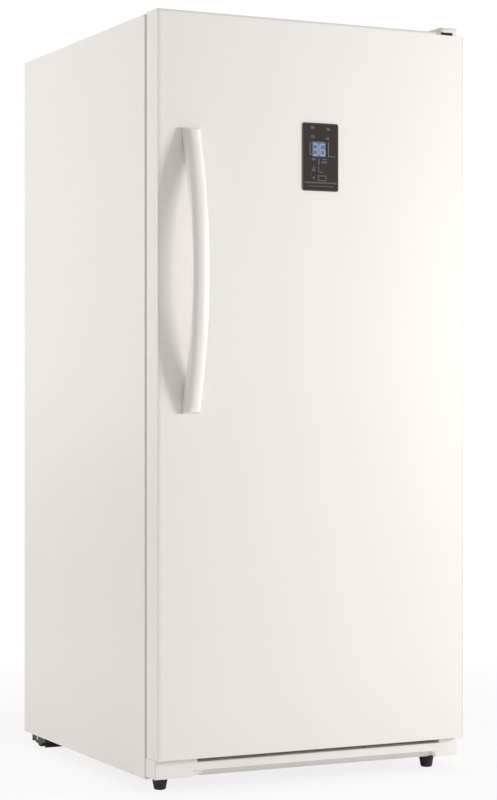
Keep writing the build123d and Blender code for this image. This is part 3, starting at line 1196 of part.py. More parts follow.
# The same foam, parted by hairline seams into plain blocks: the slab, its rim and the dyke's bars.
with BuildPart() as door_insulation:
    add(door_foam.part)
    for seam_y in (RECESS_FACE - LINER, FOAM_BACK):
        seam_span = (seam_y, seam_y + FOAM_SEAM)
        span_box(DOOR_SPAN, seam_span, (PANEL_BOTTOM, PANEL_TOP), mode=Mode.SUBTRACT)
    for side, _ in SIDES:
        seam_span = sorted((side * dyke_inner, side * (dyke_inner + FOAM_SEAM)))
        seam_depth = (RECESS_FACE - LINER, DYKE_FACE)
        span_box(seam_span, seam_depth, (PANEL_BOTTOM, PANEL_TOP), mode=Mode.SUBTRACT)
finish(door_insulation, "door_insulation")

# Door liner: the moulded white back with its dyke, its recess and the lugs that carry the bins.
with BuildPart() as door_liner:
    liner_half = HALF_WIDTH - RETURN_WIDTH
    span_box((-liner_half, liner_half), (FOAM_BACK, DOOR_BACK), (PANEL_BOTTOM, PANEL_TOP))
    span_box((-DYKE_HALF, DYKE_HALF), (RECESS_FACE - LINER, DYKE_FACE), (DYKE_BOTTOM, DYKE_TOP))
    fillet(door_liner.faces().sort_by(Axis.Y)[-1].edges(), 4)
    inner_half = DYKE_HALF - DYKE_WIDTH
    span_box(
        (-inner_half, inner_half),
        (RECESS_FACE, DYKE_FACE + 1),
        (DYKE_BOTTOM + DYKE_WIDTH, DYKE_TOP - DYKE_WIDTH),
        mode=Mode.SUBTRACT,
    )
    fillet(door_liner.faces().filter_by(Axis.Y).sort_by(Axis.Y)[-1].inner_wires()[0].edges(), 3)
    add(door_foam.part, mode=Mode.SUBTRACT)
    for bin_base in BIN_BASES:
        for side, _ in SIDES:
            lug_x = sorted((side * BIN_LUG_X, side * (inner_half + LINER / 2)))
            hang_z = bin_base + BIN_HANG
            span_box(lug_x, BIN_LUG_Y, (hang_z - BIN_LUG_HEIGHT, hang_z))
finish(door_liner, "door_liner")

# Magnetic seal: foot, bellows and magnet pocket, one ring.
with BuildPart() as door_gasket:
    seal_middle = (GASKET_BOTTOM + GASKET_TOP) / 2
    seal_back = CABINET_FRONT - GASKET_RELIEF
    seal_steps = (
        (DOOR_BACK, DOOR_BACK + 4, 0),
        (DOOR_BACK + 4, DOOR_BACK + 7, 5),
        (DOOR_BACK + 7, seal_back, 2),
    )
    for step_front, step_back, inset in seal_steps:
        with BuildSketch(Plane((0, step_front, seal_middle), x_dir=(1, 0, 0), z_dir=(0, -1, 0))):
            outer_width = 2 * (GASKET_HALF - inset)
            outer_height = GASKET_TOP - GASKET_BOTTOM - 2 * inset
            RectangleRounded(outer_width, outer_height, GASKET_CORNER)
            ring_width = GASKET_WIDTH - 2 * inset
            Rectangle(outer_width - 2 * ring_width, outer_height - 2 * ring_width, mode=Mode.SUBTRACT)
        extrude(amount=step_front - step_back)
finish(door_gasket, "door_gasket")

# Door bins, each hung by an ear at either end on a lug of the liner's dyke.
for bin_number, bin_base in enumerate(BIN_BASES, start=1):
    with BuildPart() as door_bin:
        bin_y = (RECESS_FACE + BIN_FRONT_GAP, BIN_BACK)
        span_box((-BIN_HALF, BIN_HALF), bin_y, (bin_base, bin_base + BIN_HEIGHT))
        fillet(door_bin.edges().filter_by(Axis.Z).group_by(Axis.Y)[-1], BIN_CORNER)
        offset(amount=-BIN_WALL, openings=door_bin.faces().sort_by(Axis.Z)[-1])
        window_z = bin_base + 0.68 * BIN_HEIGHT
        with BuildSketch(Plane((0, BIN_BACK + 1, window_z), x_dir=(1, 0, 0), z_dir=(0, -1, 0))):
            SlotOverall(2 * BIN_HALF - 90, 24)
        extrude(amount=BIN_WALL + 2, mode=Mode.SUBTRACT)
        for side, _ in SIDES:
            ear_x = sorted((side * (BIN_HALF - BIN_WALL / 2), side * BIN_EAR_X))
            hang_z = bin_base + BIN_HANG
            span_box(ear_x, BIN_LUG_Y, (hang_z, hang_z + BIN_EAR_HEIGHT))
    finish(door_bin, f"door_bin_{bin_number}")

# Bow handle: both ends lie flat on the door, and the middle stands clear for the fingers.
HANDLE_MIDDLE = (HANDLE_BOTTOM + HANDLE_TOP) / 2
with BuildPart() as handle:
    with BuildSketch(Plane.YZ.offset(HANDLE_X - HANDLE_WIDTH / 2)):
        with BuildLine():
            ThreePointArc(
                (DOOR_FRONT - HANDLE_END_DEPTH, HANDLE_BOTTOM + HANDLE_END_SLOPE),
                (DOOR_FRONT - HANDLE_REACH, HANDLE_MIDDLE),
                (DOOR_FRONT - HANDLE_END_DEPTH, HANDLE_TOP - HANDLE_END_SLOPE),
            )
            Polyline(
                (DOOR_FRONT - HANDLE_END_DEPTH, HANDLE_TOP - HANDLE_END_SLOPE),
                (DOOR_FRONT, HANDLE_TOP),
                (DOOR_FRONT, HANDLE_TOP - HANDLE_FOOT),
            )
            ThreePointArc(
                (DOOR_FRONT, HANDLE_TOP - HANDLE_FOOT),
                (DOOR_FRONT - HANDLE_GAP, HANDLE_MIDDLE),
                (DOOR_FRONT, HANDLE_BOTTOM + HANDLE_FOOT),
            )
            Polyline(
                (DOOR_FRONT, HANDLE_BOTTOM + HANDLE_FOOT),
                (DOOR_FRONT, HANDLE_BOTTOM),
                (DOOR_FRONT - HANDLE_END_DEPTH, HANDLE_BOTTOM + HANDLE_END_SLOPE),
            )
        make_face()
    extrude(amount=HANDLE_WIDTH)
    long_arcs = handle.edges().filter_by(GeomType.CIRCLE).sort_by(SortBy.LENGTH)
    front_ends = handle.edges().filter_by(Axis.X).group_by(Axis.Y)[0]
    fillet(long_arcs[-2:] + front_ends, HANDLE_ROUND)
    for screw_x, screw_z in HANDLE_SCREWS:
        hole_start = (screw_x, DOOR_FRONT, screw_z)
        hole_radius = HANDLE_SCREW_RADIUS + SCREW_FIT
        rod(hole_start, (0, -1, 0), hole_radius, HANDLE_SCREW_DEPTH + 1, mode=Mode.SUBTRACT)
finish(handle, "handle")

with BuildPart() as handle_screws:
    for screw_x, screw_z in HANDLE_SCREWS:
        head_start = (screw_x, DOOR_FRONT + SHEET, screw_z)
        rod(head_start, (0, 1, 0), 2 * HANDLE_SCREW_RADIUS, SCREW_HEAD_DEPTH)
        rod(head_start, (0, -1, 0), HANDLE_SCREW_RADIUS, SHEET + HANDLE_SCREW_DEPTH)
finish(handle_screws, "handle_screws")

# Control: a black frame let into the door, its glass, and the display board behind the glass.
CONTROL_FACE = DOOR_FRONT - CONTROL_PROUD
with BuildPart() as control_bezel:
    with BuildSketch(Plane((CONTROL_X, DOOR_FRONT, CONTROL_Z), x_dir=(1, 0, 0), z_dir=(0, -1, 0))):
        RectangleRounded(CONTROL_WIDTH, CONTROL_HEIGHT, CONTROL_CORNER)
    extrude(amount=CONTROL_PROUD)
    chamfer(control_bezel.faces().sort_by(Axis.Y)[0].edges(), 0.5)
    span_box(TUB_X, (DOOR_FRONT, TUB_BACK), TUB_Z)
    span_box(
        (TUB_X[0] + CONTROL_WALL, TUB_X[1] - CONTROL_WALL),
        (CONTROL_FACE - 1, TUB_BACK - CONTROL_WALL),
        (TUB_Z[0] + CONTROL_WALL, TUB_Z[1] - CONTROL_WALL),
        mode=Mode.SUBTRACT,
    )
    glass_width = CONTROL_WIDTH - 2 * CONTROL_RIM
    glass_height = CONTROL_HEIGHT - 2 * CONTROL_RIM
    with BuildSketch(Plane((CONTROL_X, CONTROL_FACE, CONTROL_Z), x_dir=(1, 0, 0), z_dir=(0, -1, 0))):
        seat_width = glass_width + 2 * GLASS_FIT
        seat_height = glass_height + 2 * GLASS_FIT
        RectangleRounded(seat_width, seat_height, CONTROL_CORNER - CONTROL_RIM)
    extrude(amount=-GLASS_THICKNESS, mode=Mode.SUBTRACT)
    for post_x in (CONTROL_X - BOARD_POSTS[0], CONTROL_X + BOARD_POSTS[0]):
        for post_z in (CONTROL_Z - BOARD_POSTS[1], CONTROL_Z + BOARD_POSTS[1]):
            rod((post_x, TUB_BACK - CONTROL_WALL, post_z), (0, -1, 0), POST_RADIUS, POST_LENGTH)
finish(control_bezel, "control_bezel")

with BuildPart() as control_glass:
    glass_back = CONTROL_FACE + GLASS_THICKNESS
    with BuildSketch(Plane((CONTROL_X, glass_back, CONTROL_Z), x_dir=(1, 0, 0), z_dir=(0, -1, 0))):
        RectangleRounded(glass_width, glass_height, CONTROL_CORNER - CONTROL_RIM - GLASS_FIT)
    extrude(amount=GLASS_THICKNESS - GLASS_FIT / 2)
finish(control_glass, "control_glass")

with BuildPart() as display_board:
    board_back = TUB_BACK - CONTROL_WALL - POST_LENGTH
    board_front = board_back - BOARD_THICKNESS
    board_x = (CONTROL_X - BOARD_HALF_WIDTH, CONTROL_X + BOARD_HALF_WIDTH)
    board_z = (CONTROL_Z - BOARD_HALF_HEIGHT, CONTROL_Z + BOARD_HALF_HEIGHT)
    span_box(board_x, (board_front, board_back), board_z)
    digits_x = (CONTROL_X - DIGITS_HALF_WIDTH, CONTROL_X + DIGITS_HALF_WIDTH)
    span_box(digits_x, (board_front - DIGITS_HEIGHT, board_front), DIGITS_Z)
finish(display_board, "display_board")
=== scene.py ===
from math import cos, pi, radians, sin, sqrt

import bmesh
import bpy
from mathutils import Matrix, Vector


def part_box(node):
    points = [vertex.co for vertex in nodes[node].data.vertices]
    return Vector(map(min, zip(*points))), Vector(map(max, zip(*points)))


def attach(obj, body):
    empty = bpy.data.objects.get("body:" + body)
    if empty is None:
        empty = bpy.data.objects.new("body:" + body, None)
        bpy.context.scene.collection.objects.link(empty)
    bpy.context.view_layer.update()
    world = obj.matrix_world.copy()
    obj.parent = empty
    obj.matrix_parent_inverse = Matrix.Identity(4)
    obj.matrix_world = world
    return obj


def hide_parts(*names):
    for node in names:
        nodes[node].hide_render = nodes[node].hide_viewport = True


# The looks of a white upright freezer with one door, in metres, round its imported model.
# X runs to the right as seen from the front, the door faces -Y and Z is up.

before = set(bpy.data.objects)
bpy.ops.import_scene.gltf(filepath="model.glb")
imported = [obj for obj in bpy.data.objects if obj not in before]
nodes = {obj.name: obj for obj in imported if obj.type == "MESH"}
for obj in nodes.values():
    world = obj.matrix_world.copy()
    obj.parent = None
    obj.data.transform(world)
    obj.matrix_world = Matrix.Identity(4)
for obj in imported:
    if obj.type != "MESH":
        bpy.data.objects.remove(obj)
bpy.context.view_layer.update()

MM = 0.001

# ---------------------------------------------------------------- driving values
CAMERA_PLACE = Vector((-2.0536, -4.2712, 0.7898))
CAMERA_TURN = radians(25.873)  # from the door's square view towards the cabinet's left side
CAMERA_LENS = 96.69  # millimetres, over a film of CAMERA_FILM
CAMERA_FILM = 36.0
CAMERA_SIGHT = 100.0

DOOR_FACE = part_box("door_panel")[0].y

HANDLE_LOW, HANDLE_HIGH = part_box("handle")
HANDLE_END_DEPTH = 17 * MM  # how far each foot's end stands off the door
HANDLE_GAP = 44 * MM  # room for the hand at the middle
HANDLE_FOOT = 18 * MM  # length of each foot along the door
HANDLE_END_SLOPE = 4 * MM  # how far the front lies back from the foot's end
HANDLE_SLOPE_REACH = 60 * MM  # length over which that slope dies out
HANDLE_DRAFT = 22 * MM  # depth of the section before it is pressed between the arcs
HANDLE_FRONT_ROUND = 18.4 * MM
HANDLE_BACK_ROUND = 3.5 * MM
HANDLE_END_ROUND = 2.2 * MM
HANDLE_LOOPS = 72

GLASS_LOW, GLASS_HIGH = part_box("control_glass")
GLASS_CENTRE = (GLASS_LOW + GLASS_HIGH) / 2
PRINT_DEPTH = 0.08 * MM

FLOOR_REACH = 30.0
FLOOR_WHITE = (0.92, 0.915, 0.91)
FLOOR_NEAR = 0.7  # the floor turns plain white to the camera between these two distances
FLOOR_FAR = 2.2
FLOOR_LIFT = 0.84  # share of plain white up to the nearer one

SURROUND_LEVEL = 0.44
KEY_POWER = 80.0
SIDE_POWER = 36.0
FRONT_POWER = 2.5
LAMP_COLOR = (1.0, 0.985, 0.965)

SAME_PLACE = 1e-6  # points closer than this are one
CUT_REACH = 1e-7  # a cut this close to a point goes through it
STRAIGHT = 0.999  # share of an edge's length that has to lie along an axis


# ================================================================ shader kit
class Value:
    """A number socket in an expression: each operator adds the Math node that it stands for."""

    def __init__(self, finish, socket):
        self.finish = finish
        self.socket = socket

    def math(self, operation, first, second=0.0):
        return Value(self.finish, self.finish.node(
            "ShaderNodeMath", {"operation": operation}, {0: first, 1: second}).outputs[0])

    def __add__(self, other):
        return self.math("ADD", self, other)

    def __mul__(self, other):
        return self.math("MULTIPLY", self, other)

    def __pow__(self, other):
        return self.math("POWER", self, other)

    def above(self, other):
        return self.math("GREATER_THAN", self, other)

    def wave(self, pitch):
        """A sine of this length, in metres, that runs from 0 to 1."""
        return self.math("SINE", self * (2 * pi / pitch)) * 0.5 + 0.5


class Finish:
    """A material with one Principled shader, and one method that adds any other node."""

    def __init__(self, name, color, roughness, **fixed):
        self.material = bpy.data.materials.new(name)
        self.material.use_nodes = True
        self.tree = self.material.node_tree
        self.shader = self.tree.nodes["Principled BSDF"]
        self.set("Base Color", (*color, 1.0))
        self.set("Roughness", roughness)
        for socket, value in fixed.items():
            self.set(socket.replace("_", " ").title().replace("Ior", "IOR"), value)
        self.material.diffuse_color = (*color, 1.0)

    def feed(self, socket, value):
        if isinstance(value, Value):
            value = value.socket
        if isinstance(value, bpy.types.NodeSocket):
            self.tree.links.new(value, socket)
        else:
            socket.default_value = value

    def set(self, name, value):
        self.feed(self.shader.inputs[name], value)

    def node(self, kind, settings=None, inputs=None):
        made = self.tree.nodes.new(kind)
        for name, value in (settings or {}).items():
            setattr(made, name, value)
        for name, value in (inputs or {}).items():
            self.feed(made.inputs[name], value)
        return made

    def place(self):
        """The point's place on the object, in metres."""
        return self.node("ShaderNodeTexCoord").outputs["Object"]

    def axes(self):
        split = self.node("ShaderNodeSeparateXYZ", inputs={0: self.place()})
        return [Value(self, output) for output in split.outputs]

    def stretched(self, scale):
        """The place with each axis scaled, so that a pattern is drawn out along one of them."""
        made = self.node("ShaderNodeMapping", inputs={"Vector": self.place(), "Scale": scale})
        return made.outputs[0]

    def noise(self, size, detail=2.0, roughness=0.5, where=None):
        """Noise whose grain is about this size, in metres."""
        made = self.node("ShaderNodeTexNoise", inputs={
            "Vector": where or self.place(), "Scale": 1.0 / size, "Detail": detail,
            "Roughness": roughness})
        return Value(self, made.outputs[0])

    def cells(self, size):
        """Rounded cells of about this size, in metres."""
        made = self.node("ShaderNodeTexVoronoi", inputs={
            "Vector": self.place(), "Scale": 1.0 / size})
        return Value(self, made.outputs["Distance"])

    def mix(self, factor, first, second):
        made = self.node("ShaderNodeMix", {"data_type": "RGBA"}, {0: factor, 6: first, 7: second})
        return made.outputs[2]

    def bump(self, height, depth, strength=1.0):
        """Bumps of this depth, in metres, where height runs from 0 to 1."""
        made = self.node("ShaderNodeBump", inputs={
            "Height": height, "Distance": depth, "Strength": strength})
        self.set("Normal", made.outputs[0])


def shade(color, factor):
    """A colour made darker or lighter, with its alpha."""
    return tuple(min(1.0, part * factor) for part in color) + (1.0,)


# ================================================================ finishes
def sprayed_enamel(name, color, roughness=0.34):
    """Gloss enamel on sheet steel: faint orange peel and a slow drift of tone."""
    made = Finish(name, color, roughness, coat_weight=0.22, coat_roughness=0.14)
    drift = made.noise(0.28, detail=3)
    made.set("Base Color", made.mix(drift, shade(color, 0.985), shade(color, 1.012)))
    made.set("Roughness", made.noise(0.012, detail=4) * 0.07 + (roughness - 0.035))
    made.bump(made.noise(0.0022, detail=1) + made.noise(0.0075, detail=1) * 1.4, 0.00002, 0.35)
    return made


def moulded_plastic(name, color, roughness=0.34, grain=0.0009):
    """Injection-moulded plastic: a fine even grain, and slight clouding."""
    made = Finish(name, color, roughness, specular_ior_level=0.5)
    cloud = made.noise(0.06, detail=3)
    made.set("Base Color", made.mix(cloud, shade(color, 0.98), shade(color, 1.015)))
    made.set("Roughness", made.noise(0.004, detail=3) * 0.08 + (roughness - 0.04))
    made.bump(made.noise(grain, detail=2), 0.00003, 0.3)
    return made


def vacuum_formed_liner(name, color):
    """Glossy drawn sheet plastic, whose thickness ripples gently."""
    made = Finish(name, color, 0.22, specular_ior_level=0.55)
    ripple = made.noise(0.09, detail=2)
    made.set("Base Color", made.mix(ripple, shade(color, 0.985), shade(color, 1.01)))
    made.set("Roughness", made.noise(0.02, detail=2) * 0.08 + 0.18)
    made.bump(ripple + made.noise(0.0015) * 0.05, 0.0004, 0.2)
    return made


def galvanised_steel(name, color, roughness=0.42):
    """Zinc-coated sheet with its patchwork of flat crystals."""
    made = Finish(name, color, roughness, metallic=0.85)
    spangle = made.node("ShaderNodeTexVoronoi", inputs={"Vector": made.place(), "Scale": 140.0})
    tone = made.node("ShaderNodeSeparateXYZ", inputs={0: spangle.outputs["Color"]})
    patch = Value(made, tone.outputs[0])
    made.set("Base Color", made.mix(patch, shade(color, 0.88), shade(color, 1.08)))
    made.set("Roughness", patch * 0.14 + (roughness - 0.07) + made.noise(0.05) * 0.05)
    made.bump(patch * 0.5 + made.noise(0.003) * 0.5, 0.00003, 0.3)
    return made


def machined_steel(name, color, roughness=0.28):
    """Turned or drawn bright steel with fine lines round it."""
    made = Finish(name, color, roughness, metallic=1.0)
    lines = made.noise(0.0006, detail=2, where=made.stretched((1.0, 1.0, 6.0)))
    made.set("Base Color", made.mix(lines, shade(color, 0.9), shade(color, 1.05)))
    made.set("Roughness", lines * 0.16 + (roughness - 0.08))
    made.bump(lines, 0.00002, 0.3)
    return made


def black_enamel(name, color, roughness=0.36):
    """Dip paint on pressings: thick, slightly uneven, dusty in places."""
    made = Finish(name, color, roughness)
    dust = made.noise(0.03, detail=5, roughness=0.65)
    made.set("Base Color", made.mix(dust ** 3, shade(color, 1.0), (0.09, 0.088, 0.085, 1.0)))
    made.set("Roughness", dust * 0.3 + (roughness - 0.1))
    made.bump(made.noise(0.004, detail=2), 0.00008, 0.35)
    return made


def rigid_foam(name, color):
    """Poured foam: closed cells of about a millimetre."""
    made = Finish(name, color, 0.9)
    cloud = made.noise(0.02, detail=3)
    made.set("Base Color", made.mix(cloud, shade(color, 0.9), shade(color, 1.05)))
    made.bump(made.cells(0.0016), 0.0004, 0.5)
    return made


def soft_rubber(name, color, roughness=0.6):
    """Extruded seal: matt, with a bloom on it and drawing lines along it."""
    made = Finish(name, color, roughness, specular_ior_level=0.35)
    bloom = made.noise(0.018, detail=4, roughness=0.6)
    made.set("Base Color", made.mix(bloom, shade(color, 0.9), shade(color, 1.12)))
    made.set("Roughness", bloom * 0.12 + (roughness - 0.06))
    made.bump(made.noise(0.0007, detail=2), 0.00004, 0.4)
    return made


def clear_bin_plastic(name, color):
    """Frosted, slightly blue clear plastic."""
    made = Finish(name, color, 0.22, transmission_weight=0.45, ior=1.49)
    frost = made.noise(0.03, detail=3)
    made.set("Base Color", made.mix(frost, shade(color, 0.98), shade(color, 1.02)))
    made.set("Roughness", frost * 0.1 + 0.18)
    made.bump(made.noise(0.0012, detail=2), 0.00003, 0.3)
    return made


def white_wire_coating(name, color):
    """Plastic-dipped wire: glossy and a little lumpy."""
    made = Finish(name, color, 0.25, coat_weight=0.3, coat_roughness=0.1)
    lumps = made.noise(0.006, detail=2)
    made.set("Base Color", made.mix(lumps, shade(color, 0.97), shade(color, 1.01)))
    made.bump(lumps, 0.00015, 0.3)
    return made


def rolled_aluminium(name, color):
    """Fin stock, brushed along its length."""
    made = Finish(name, color, 0.35, metallic=1.0)
    lines = made.noise(0.0008, detail=3, where=made.stretched((1.0, 1.0, 0.08)))
    made.set("Base Color", made.mix(lines, shade(color, 0.88), shade(color, 1.05)))
    made.set("Roughness", lines * 0.2 + 0.26)
    return made


def drawn_copper(name, color):
    """Copper tube, dulled in patches."""
    made = Finish(name, color, 0.3, metallic=1.0)
    tarnish = made.noise(0.02, detail=5, roughness=0.65)
    made.set("Base Color", made.mix(tarnish ** 2, shade(color, 1.05), (0.28, 0.15, 0.09, 1.0)))
    made.set("Roughness", tarnish * 0.3 + 0.18)
    return made


def circuit_board(name, color):
    """Green solder mask over a faint pattern of tracks."""
    made = Finish(name, color, 0.35, coat_weight=0.3, coat_roughness=0.15)
    x, _, z = made.axes()
    tracks = (x.wave(0.0044) * z.wave(0.0061)).above(0.55)
    made.set("Base Color", made.mix(tracks, shade(color, 0.9), shade(color, 1.7)))
    made.bump(tracks, 0.00003, 0.5)
    return made


def black_glass(name):
    """Smoked glass over a black print."""
    made = Finish(name, (0.018, 0.015, 0.014), 0.06, specular_ior_level=0.36)
    haze = made.noise(0.03, detail=4, roughness=0.6)
    made.set("Base Color", made.mix(
        haze, (0.019, 0.014, 0.012, 1.0), (0.029, 0.020, 0.017, 1.0)))
    made.set("Roughness", haze * 0.05 + 0.05)
    return made


def lit_print(name, color, strength):
    """A lit part of the display, a little brighter at its middle."""
    made = Finish(name, shade(color, 0.25)[:3], 0.3, emission_strength=strength)
    glow = made.noise(0.004, detail=1)
    made.set("Emission Color", made.mix(glow, shade(color, 0.8), shade(color, 1.15)))
    return made


WHITE = (0.885, 0.868, 0.842)
ENAMEL = sprayed_enamel("sprayed_enamel_white", WHITE)
WHITE_PLASTIC = moulded_plastic("moulded_plastic_white", (0.885, 0.870, 0.845))
HANDLE_PLASTIC = moulded_plastic("handle_plastic_white", (0.90, 0.885, 0.860), roughness=0.24)
LINER = vacuum_formed_liner("liner_plastic_white", (0.86, 0.87, 0.875))
BIN_PLASTIC = clear_bin_plastic("bin_plastic_clear", (0.84, 0.89, 0.92))
BASKET_PLASTIC = moulded_plastic("basket_plastic_white", (0.87, 0.88, 0.89), roughness=0.3)
ZINC = galvanised_steel("galvanised_sheet", (0.66, 0.67, 0.68))
BRIGHT_STEEL = machined_steel("bright_steel", (0.74, 0.74, 0.75))
BLACK_STEEL = black_enamel("black_dip_paint", (0.022, 0.022, 0.024))
BLACK_PLASTIC = moulded_plastic("moulded_plastic_black", (0.022, 0.022, 0.024), roughness=0.42)
GREY_PLASTIC = moulded_plastic("moulded_plastic_grey", (0.34, 0.34, 0.35), roughness=0.4)
FOAM = rigid_foam("rigid_foam_cream", (0.84, 0.76, 0.55))
SEAL = soft_rubber("seal_rubber_grey", (0.56, 0.55, 0.54))
BLACK_RUBBER = soft_rubber("grommet_rubber_black", (0.03, 0.03, 0.03))
WIRE = white_wire_coating("wire_coating_white", (0.88, 0.88, 0.88))
FINS = rolled_aluminium("fin_aluminium", (0.82, 0.83, 0.84))
COPPER = drawn_copper("copper_tube", (0.80, 0.42, 0.26))
BOARD = circuit_board("circuit_board_green", (0.03, 0.16, 0.07))
GLASS = black_glass("smoked_black_glass")
WINDOW_LIGHT = lit_print("display_window_blue", (0.10, 0.15, 0.26), 0.75)
BAND_LIGHT = lit_print("display_band_blue", (0.09, 0.10, 0.17), 0.6)
BLUE_LIGHT = lit_print("display_figure_blue", (0.27, 0.36, 0.50), 0.85)
PALE_LIGHT = lit_print("display_pale", (0.20, 0.21, 0.22), 0.45)
DIM_PRINT = moulded_plastic("print_dim_grey", (0.085, 0.082, 0.075), roughness=0.4)
SEAM_PRINT = moulded_plastic("glass_seam_grey", (0.062, 0.056, 0.052), roughness=0.35)

NODE_FINISHES = {
    ENAMEL: ("cabinet_shell", "door_panel"),
    WHITE_PLASTIC: ("door_top_cap", "door_bottom_cap", "kickplate", "hinge_cover"),
    HANDLE_PLASTIC: ("handle",),
    LINER: ("inner_liner", "door_liner", "duct_cover"),
    BASKET_PLASTIC: ("bottom_basket",),
    BIN_PLASTIC: ("door_bin_1", "door_bin_2", "door_bin_3", "door_bin_4", "light_cover"),
    ZINC: ("back_panel", "stepped_floor", "front_rail", "compressor_plate", "rear_cover",
           "lower_hinge_bracket", "condenser_fan_motor", "evaporator_fan_motor", "drain_pan",
           "foot_nuts"),
    BRIGHT_STEEL: ("hinge_pins", "hinge_screws", "handle_screws", "roller_axles", "defrost_heater"),
    # the upper hinge bracket is black dip paint here as painted shade: it darkens the slot between
    # the hinge cover and the door top
    BLACK_STEEL: ("compressor", "roller_brackets", "foot_brackets", "condenser",
                  "upper_hinge_bracket"),
    BLACK_PLASTIC: ("front_foot_left", "front_foot_right", "control_bezel", "relay_cover",
                    "cord_gland", "condenser_fan", "main_board_box", "rear_roller_left",
                    "rear_roller_right"),
    GREY_PLASTIC: ("evaporator_fan", "defrost_drain"),
    FOAM: ("cabinet_insulation", "door_insulation"),
    SEAL: ("door_gasket",),
    BLACK_RUBBER: ("compressor_grommets",),
    WIRE: ("shelf_lower", "shelf_middle", "shelf_upper"),
    FINS: ("evaporator",),
    COPPER: ("refrigerant_lines", "filter_drier"),
    GLASS: ("control_glass",),
    BOARD: ("display_board", "light_board"),
}
for finish, names in NODE_FINISHES.items():
    for name in names:
        nodes[name].data.materials.clear()
        nodes[name].data.materials.append(finish.material)


# ================================================================ mesh kit
def start_box(low, high):
    """A bmesh box between two corners."""
    shape = bmesh.new()
    bmesh.ops.create_cube(shape, size=1.0)
    low, high = Vector(low), Vector(high)
    bmesh.ops.scale(shape, vec=high - low, verts=shape.verts)
    bmesh.ops.translate(shape, vec=(low + high) / 2, verts=shape.verts)
    return shape


def round_edges(shape, edges, radius, segments):
    """Round these edges with a bevel of this radius."""
    bmesh.ops.bevel(shape, geom=list(edges), offset=radius, segments=segments, profile=0.5,
                    affect="EDGES", material=-1, clamp_overlap=True)


def edges_along(shape, axis):
    """The straight edges that run along one axis: 0, 1 or 2."""
    chosen = []
    for edge in shape.edges:
        run = edge.verts[1].co - edge.verts[0].co
        if abs(run[axis]) > STRAIGHT * run.length:
            chosen.append(edge)
    return chosen


def piece(name, shape, finish, body, smooth=35):
    """Turn a finished bmesh into an object that rides on a body, smooth up to this angle."""
    bmesh.ops.remove_doubles(shape, verts=shape.verts, dist=SAME_PLACE)
    bmesh.ops.recalc_face_normals(shape, faces=shape.faces)
    for face in shape.faces:
        face.smooth = True
    mesh = bpy.data.meshes.new(name)
    shape.to_mesh(mesh)
    shape.free()
    mesh.set_sharp_from_angle(angle=radians(smooth))
    mesh.materials.append(finish.material)
    made = bpy.data.objects.new(name, mesh)
    bpy.context.scene.collection.objects.link(made)
    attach(made, body)
    return made


# ================================================================ handle
def circle_height(half_chord, rise, offset):
    """Height of a shallow arch above its chord, at an offset from its middle."""
    radius = (half_chord ** 2 + rise ** 2) / (2 * rise)
    return sqrt(max(0.0, radius ** 2 - offset ** 2)) - (radius - rise)


def bow_handle():
    """The bow handle: a rounded bar between two arcs, with blunt feet on the door.

    Its section is drafted deeper than the bar, and pressed between the arcs to a half oval.
    """
    middle = (HANDLE_LOW.z + HANDLE_HIGH.z) / 2
    half_length = (HANDLE_HIGH.z - HANDLE_LOW.z) / 2
    reach = DOOR_FACE - HANDLE_LOW.y
    shape = start_box((HANDLE_LOW.x, -HANDLE_DRAFT, HANDLE_LOW.z),
                      (HANDLE_HIGH.x, 0, HANDLE_HIGH.z))
    back_edges = [edge for edge in edges_along(shape, 2)
                  if edge.verts[0].co.y > -HANDLE_DRAFT / 2]
    round_edges(shape, back_edges, HANDLE_BACK_ROUND, segments=5)
    front_edges = [edge for edge in edges_along(shape, 2)
                   if edge.verts[0].co.y < -HANDLE_DRAFT + SAME_PLACE]
    round_edges(shape, front_edges, HANDLE_FRONT_ROUND, segments=12)
    end_edges = [edge for edge in shape.edges
                 if all(abs(abs(vert.co.z - middle) - half_length) < SAME_PLACE
                        for vert in edge.verts)]
    round_edges(shape, end_edges, HANDLE_END_ROUND, segments=4)
    for loop in range(1, HANDLE_LOOPS):
        # loops crowd towards the feet, where the back arc meets the door
        height = middle - half_length * cos(pi * loop / HANDLE_LOOPS)
        bmesh.ops.bisect_plane(shape, geom=shape.verts[:] + shape.edges[:] + shape.faces[:],
                               plane_co=(0, 0, height), plane_no=(0, 0, 1), dist=CUT_REACH)
    back_half = half_length - HANDLE_FOOT
    for vert in shape.verts:
        along = vert.co.z - middle
        front = HANDLE_END_DEPTH + circle_height(half_length, reach - HANDLE_END_DEPTH, along)
        back = circle_height(back_half, HANDLE_GAP, along) if abs(along) < back_half else 0.0
        share = -vert.co.y / HANDLE_DRAFT
        near_end = max(0.0, 1.0 - (half_length - abs(along)) / HANDLE_SLOPE_REACH)
        vert.co.z -= HANDLE_END_SLOPE * share * near_end * (1 if along > 0 else -1)
        vert.co.y = DOOR_FACE - (back + share * (front - back))
    made = piece("handle_bow", shape, HANDLE_PLASTIC, "door", smooth=50)
    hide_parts("handle")


bow_handle()


# ================================================================ display
# The print lies on the glass. Its bars are given in millimetres from the glass's middle: shift
# across, shift up, width, height, and how far the corners are cut.
WINDOW_SHIFT = (-4, 16)
WINDOW_SIZE = 31 * MM
WINDOW_CUT = 2.5 * MM
BAND_BARS = (
    (-4, -9, 3, 13, 0.8),
    (8.5, -10.5, 13, 4, 1.2),
    (8.5, -4.5, 13, 2.4, 0.8),
    (-16, -5, 9, 4, 1.2),
)
BRACKET_BARS = (
    (-24.5, 17, 1.6, 26, 0),
    (18, 17, 1.6, 30, 0),
    (25, 2, 18, 1.4, 0),
    (-22.5, 4.7, 2.4, 1.4, 0),
    (-22.5, 29.3, 2.4, 1.4, 0),
)
TOP_FIELDS = ((-19, 60, 9, 6, 2.4), (18, 58, 8, 6, 2.4))
LADDER_FOOT = (-16, -28.5)
LADDER_RUNGS = 4
LADDER_STEP = 3
LADDER_WIDTH = 10
LADDER_NARROWING = 2.4
LADDER_LINE = 2.0
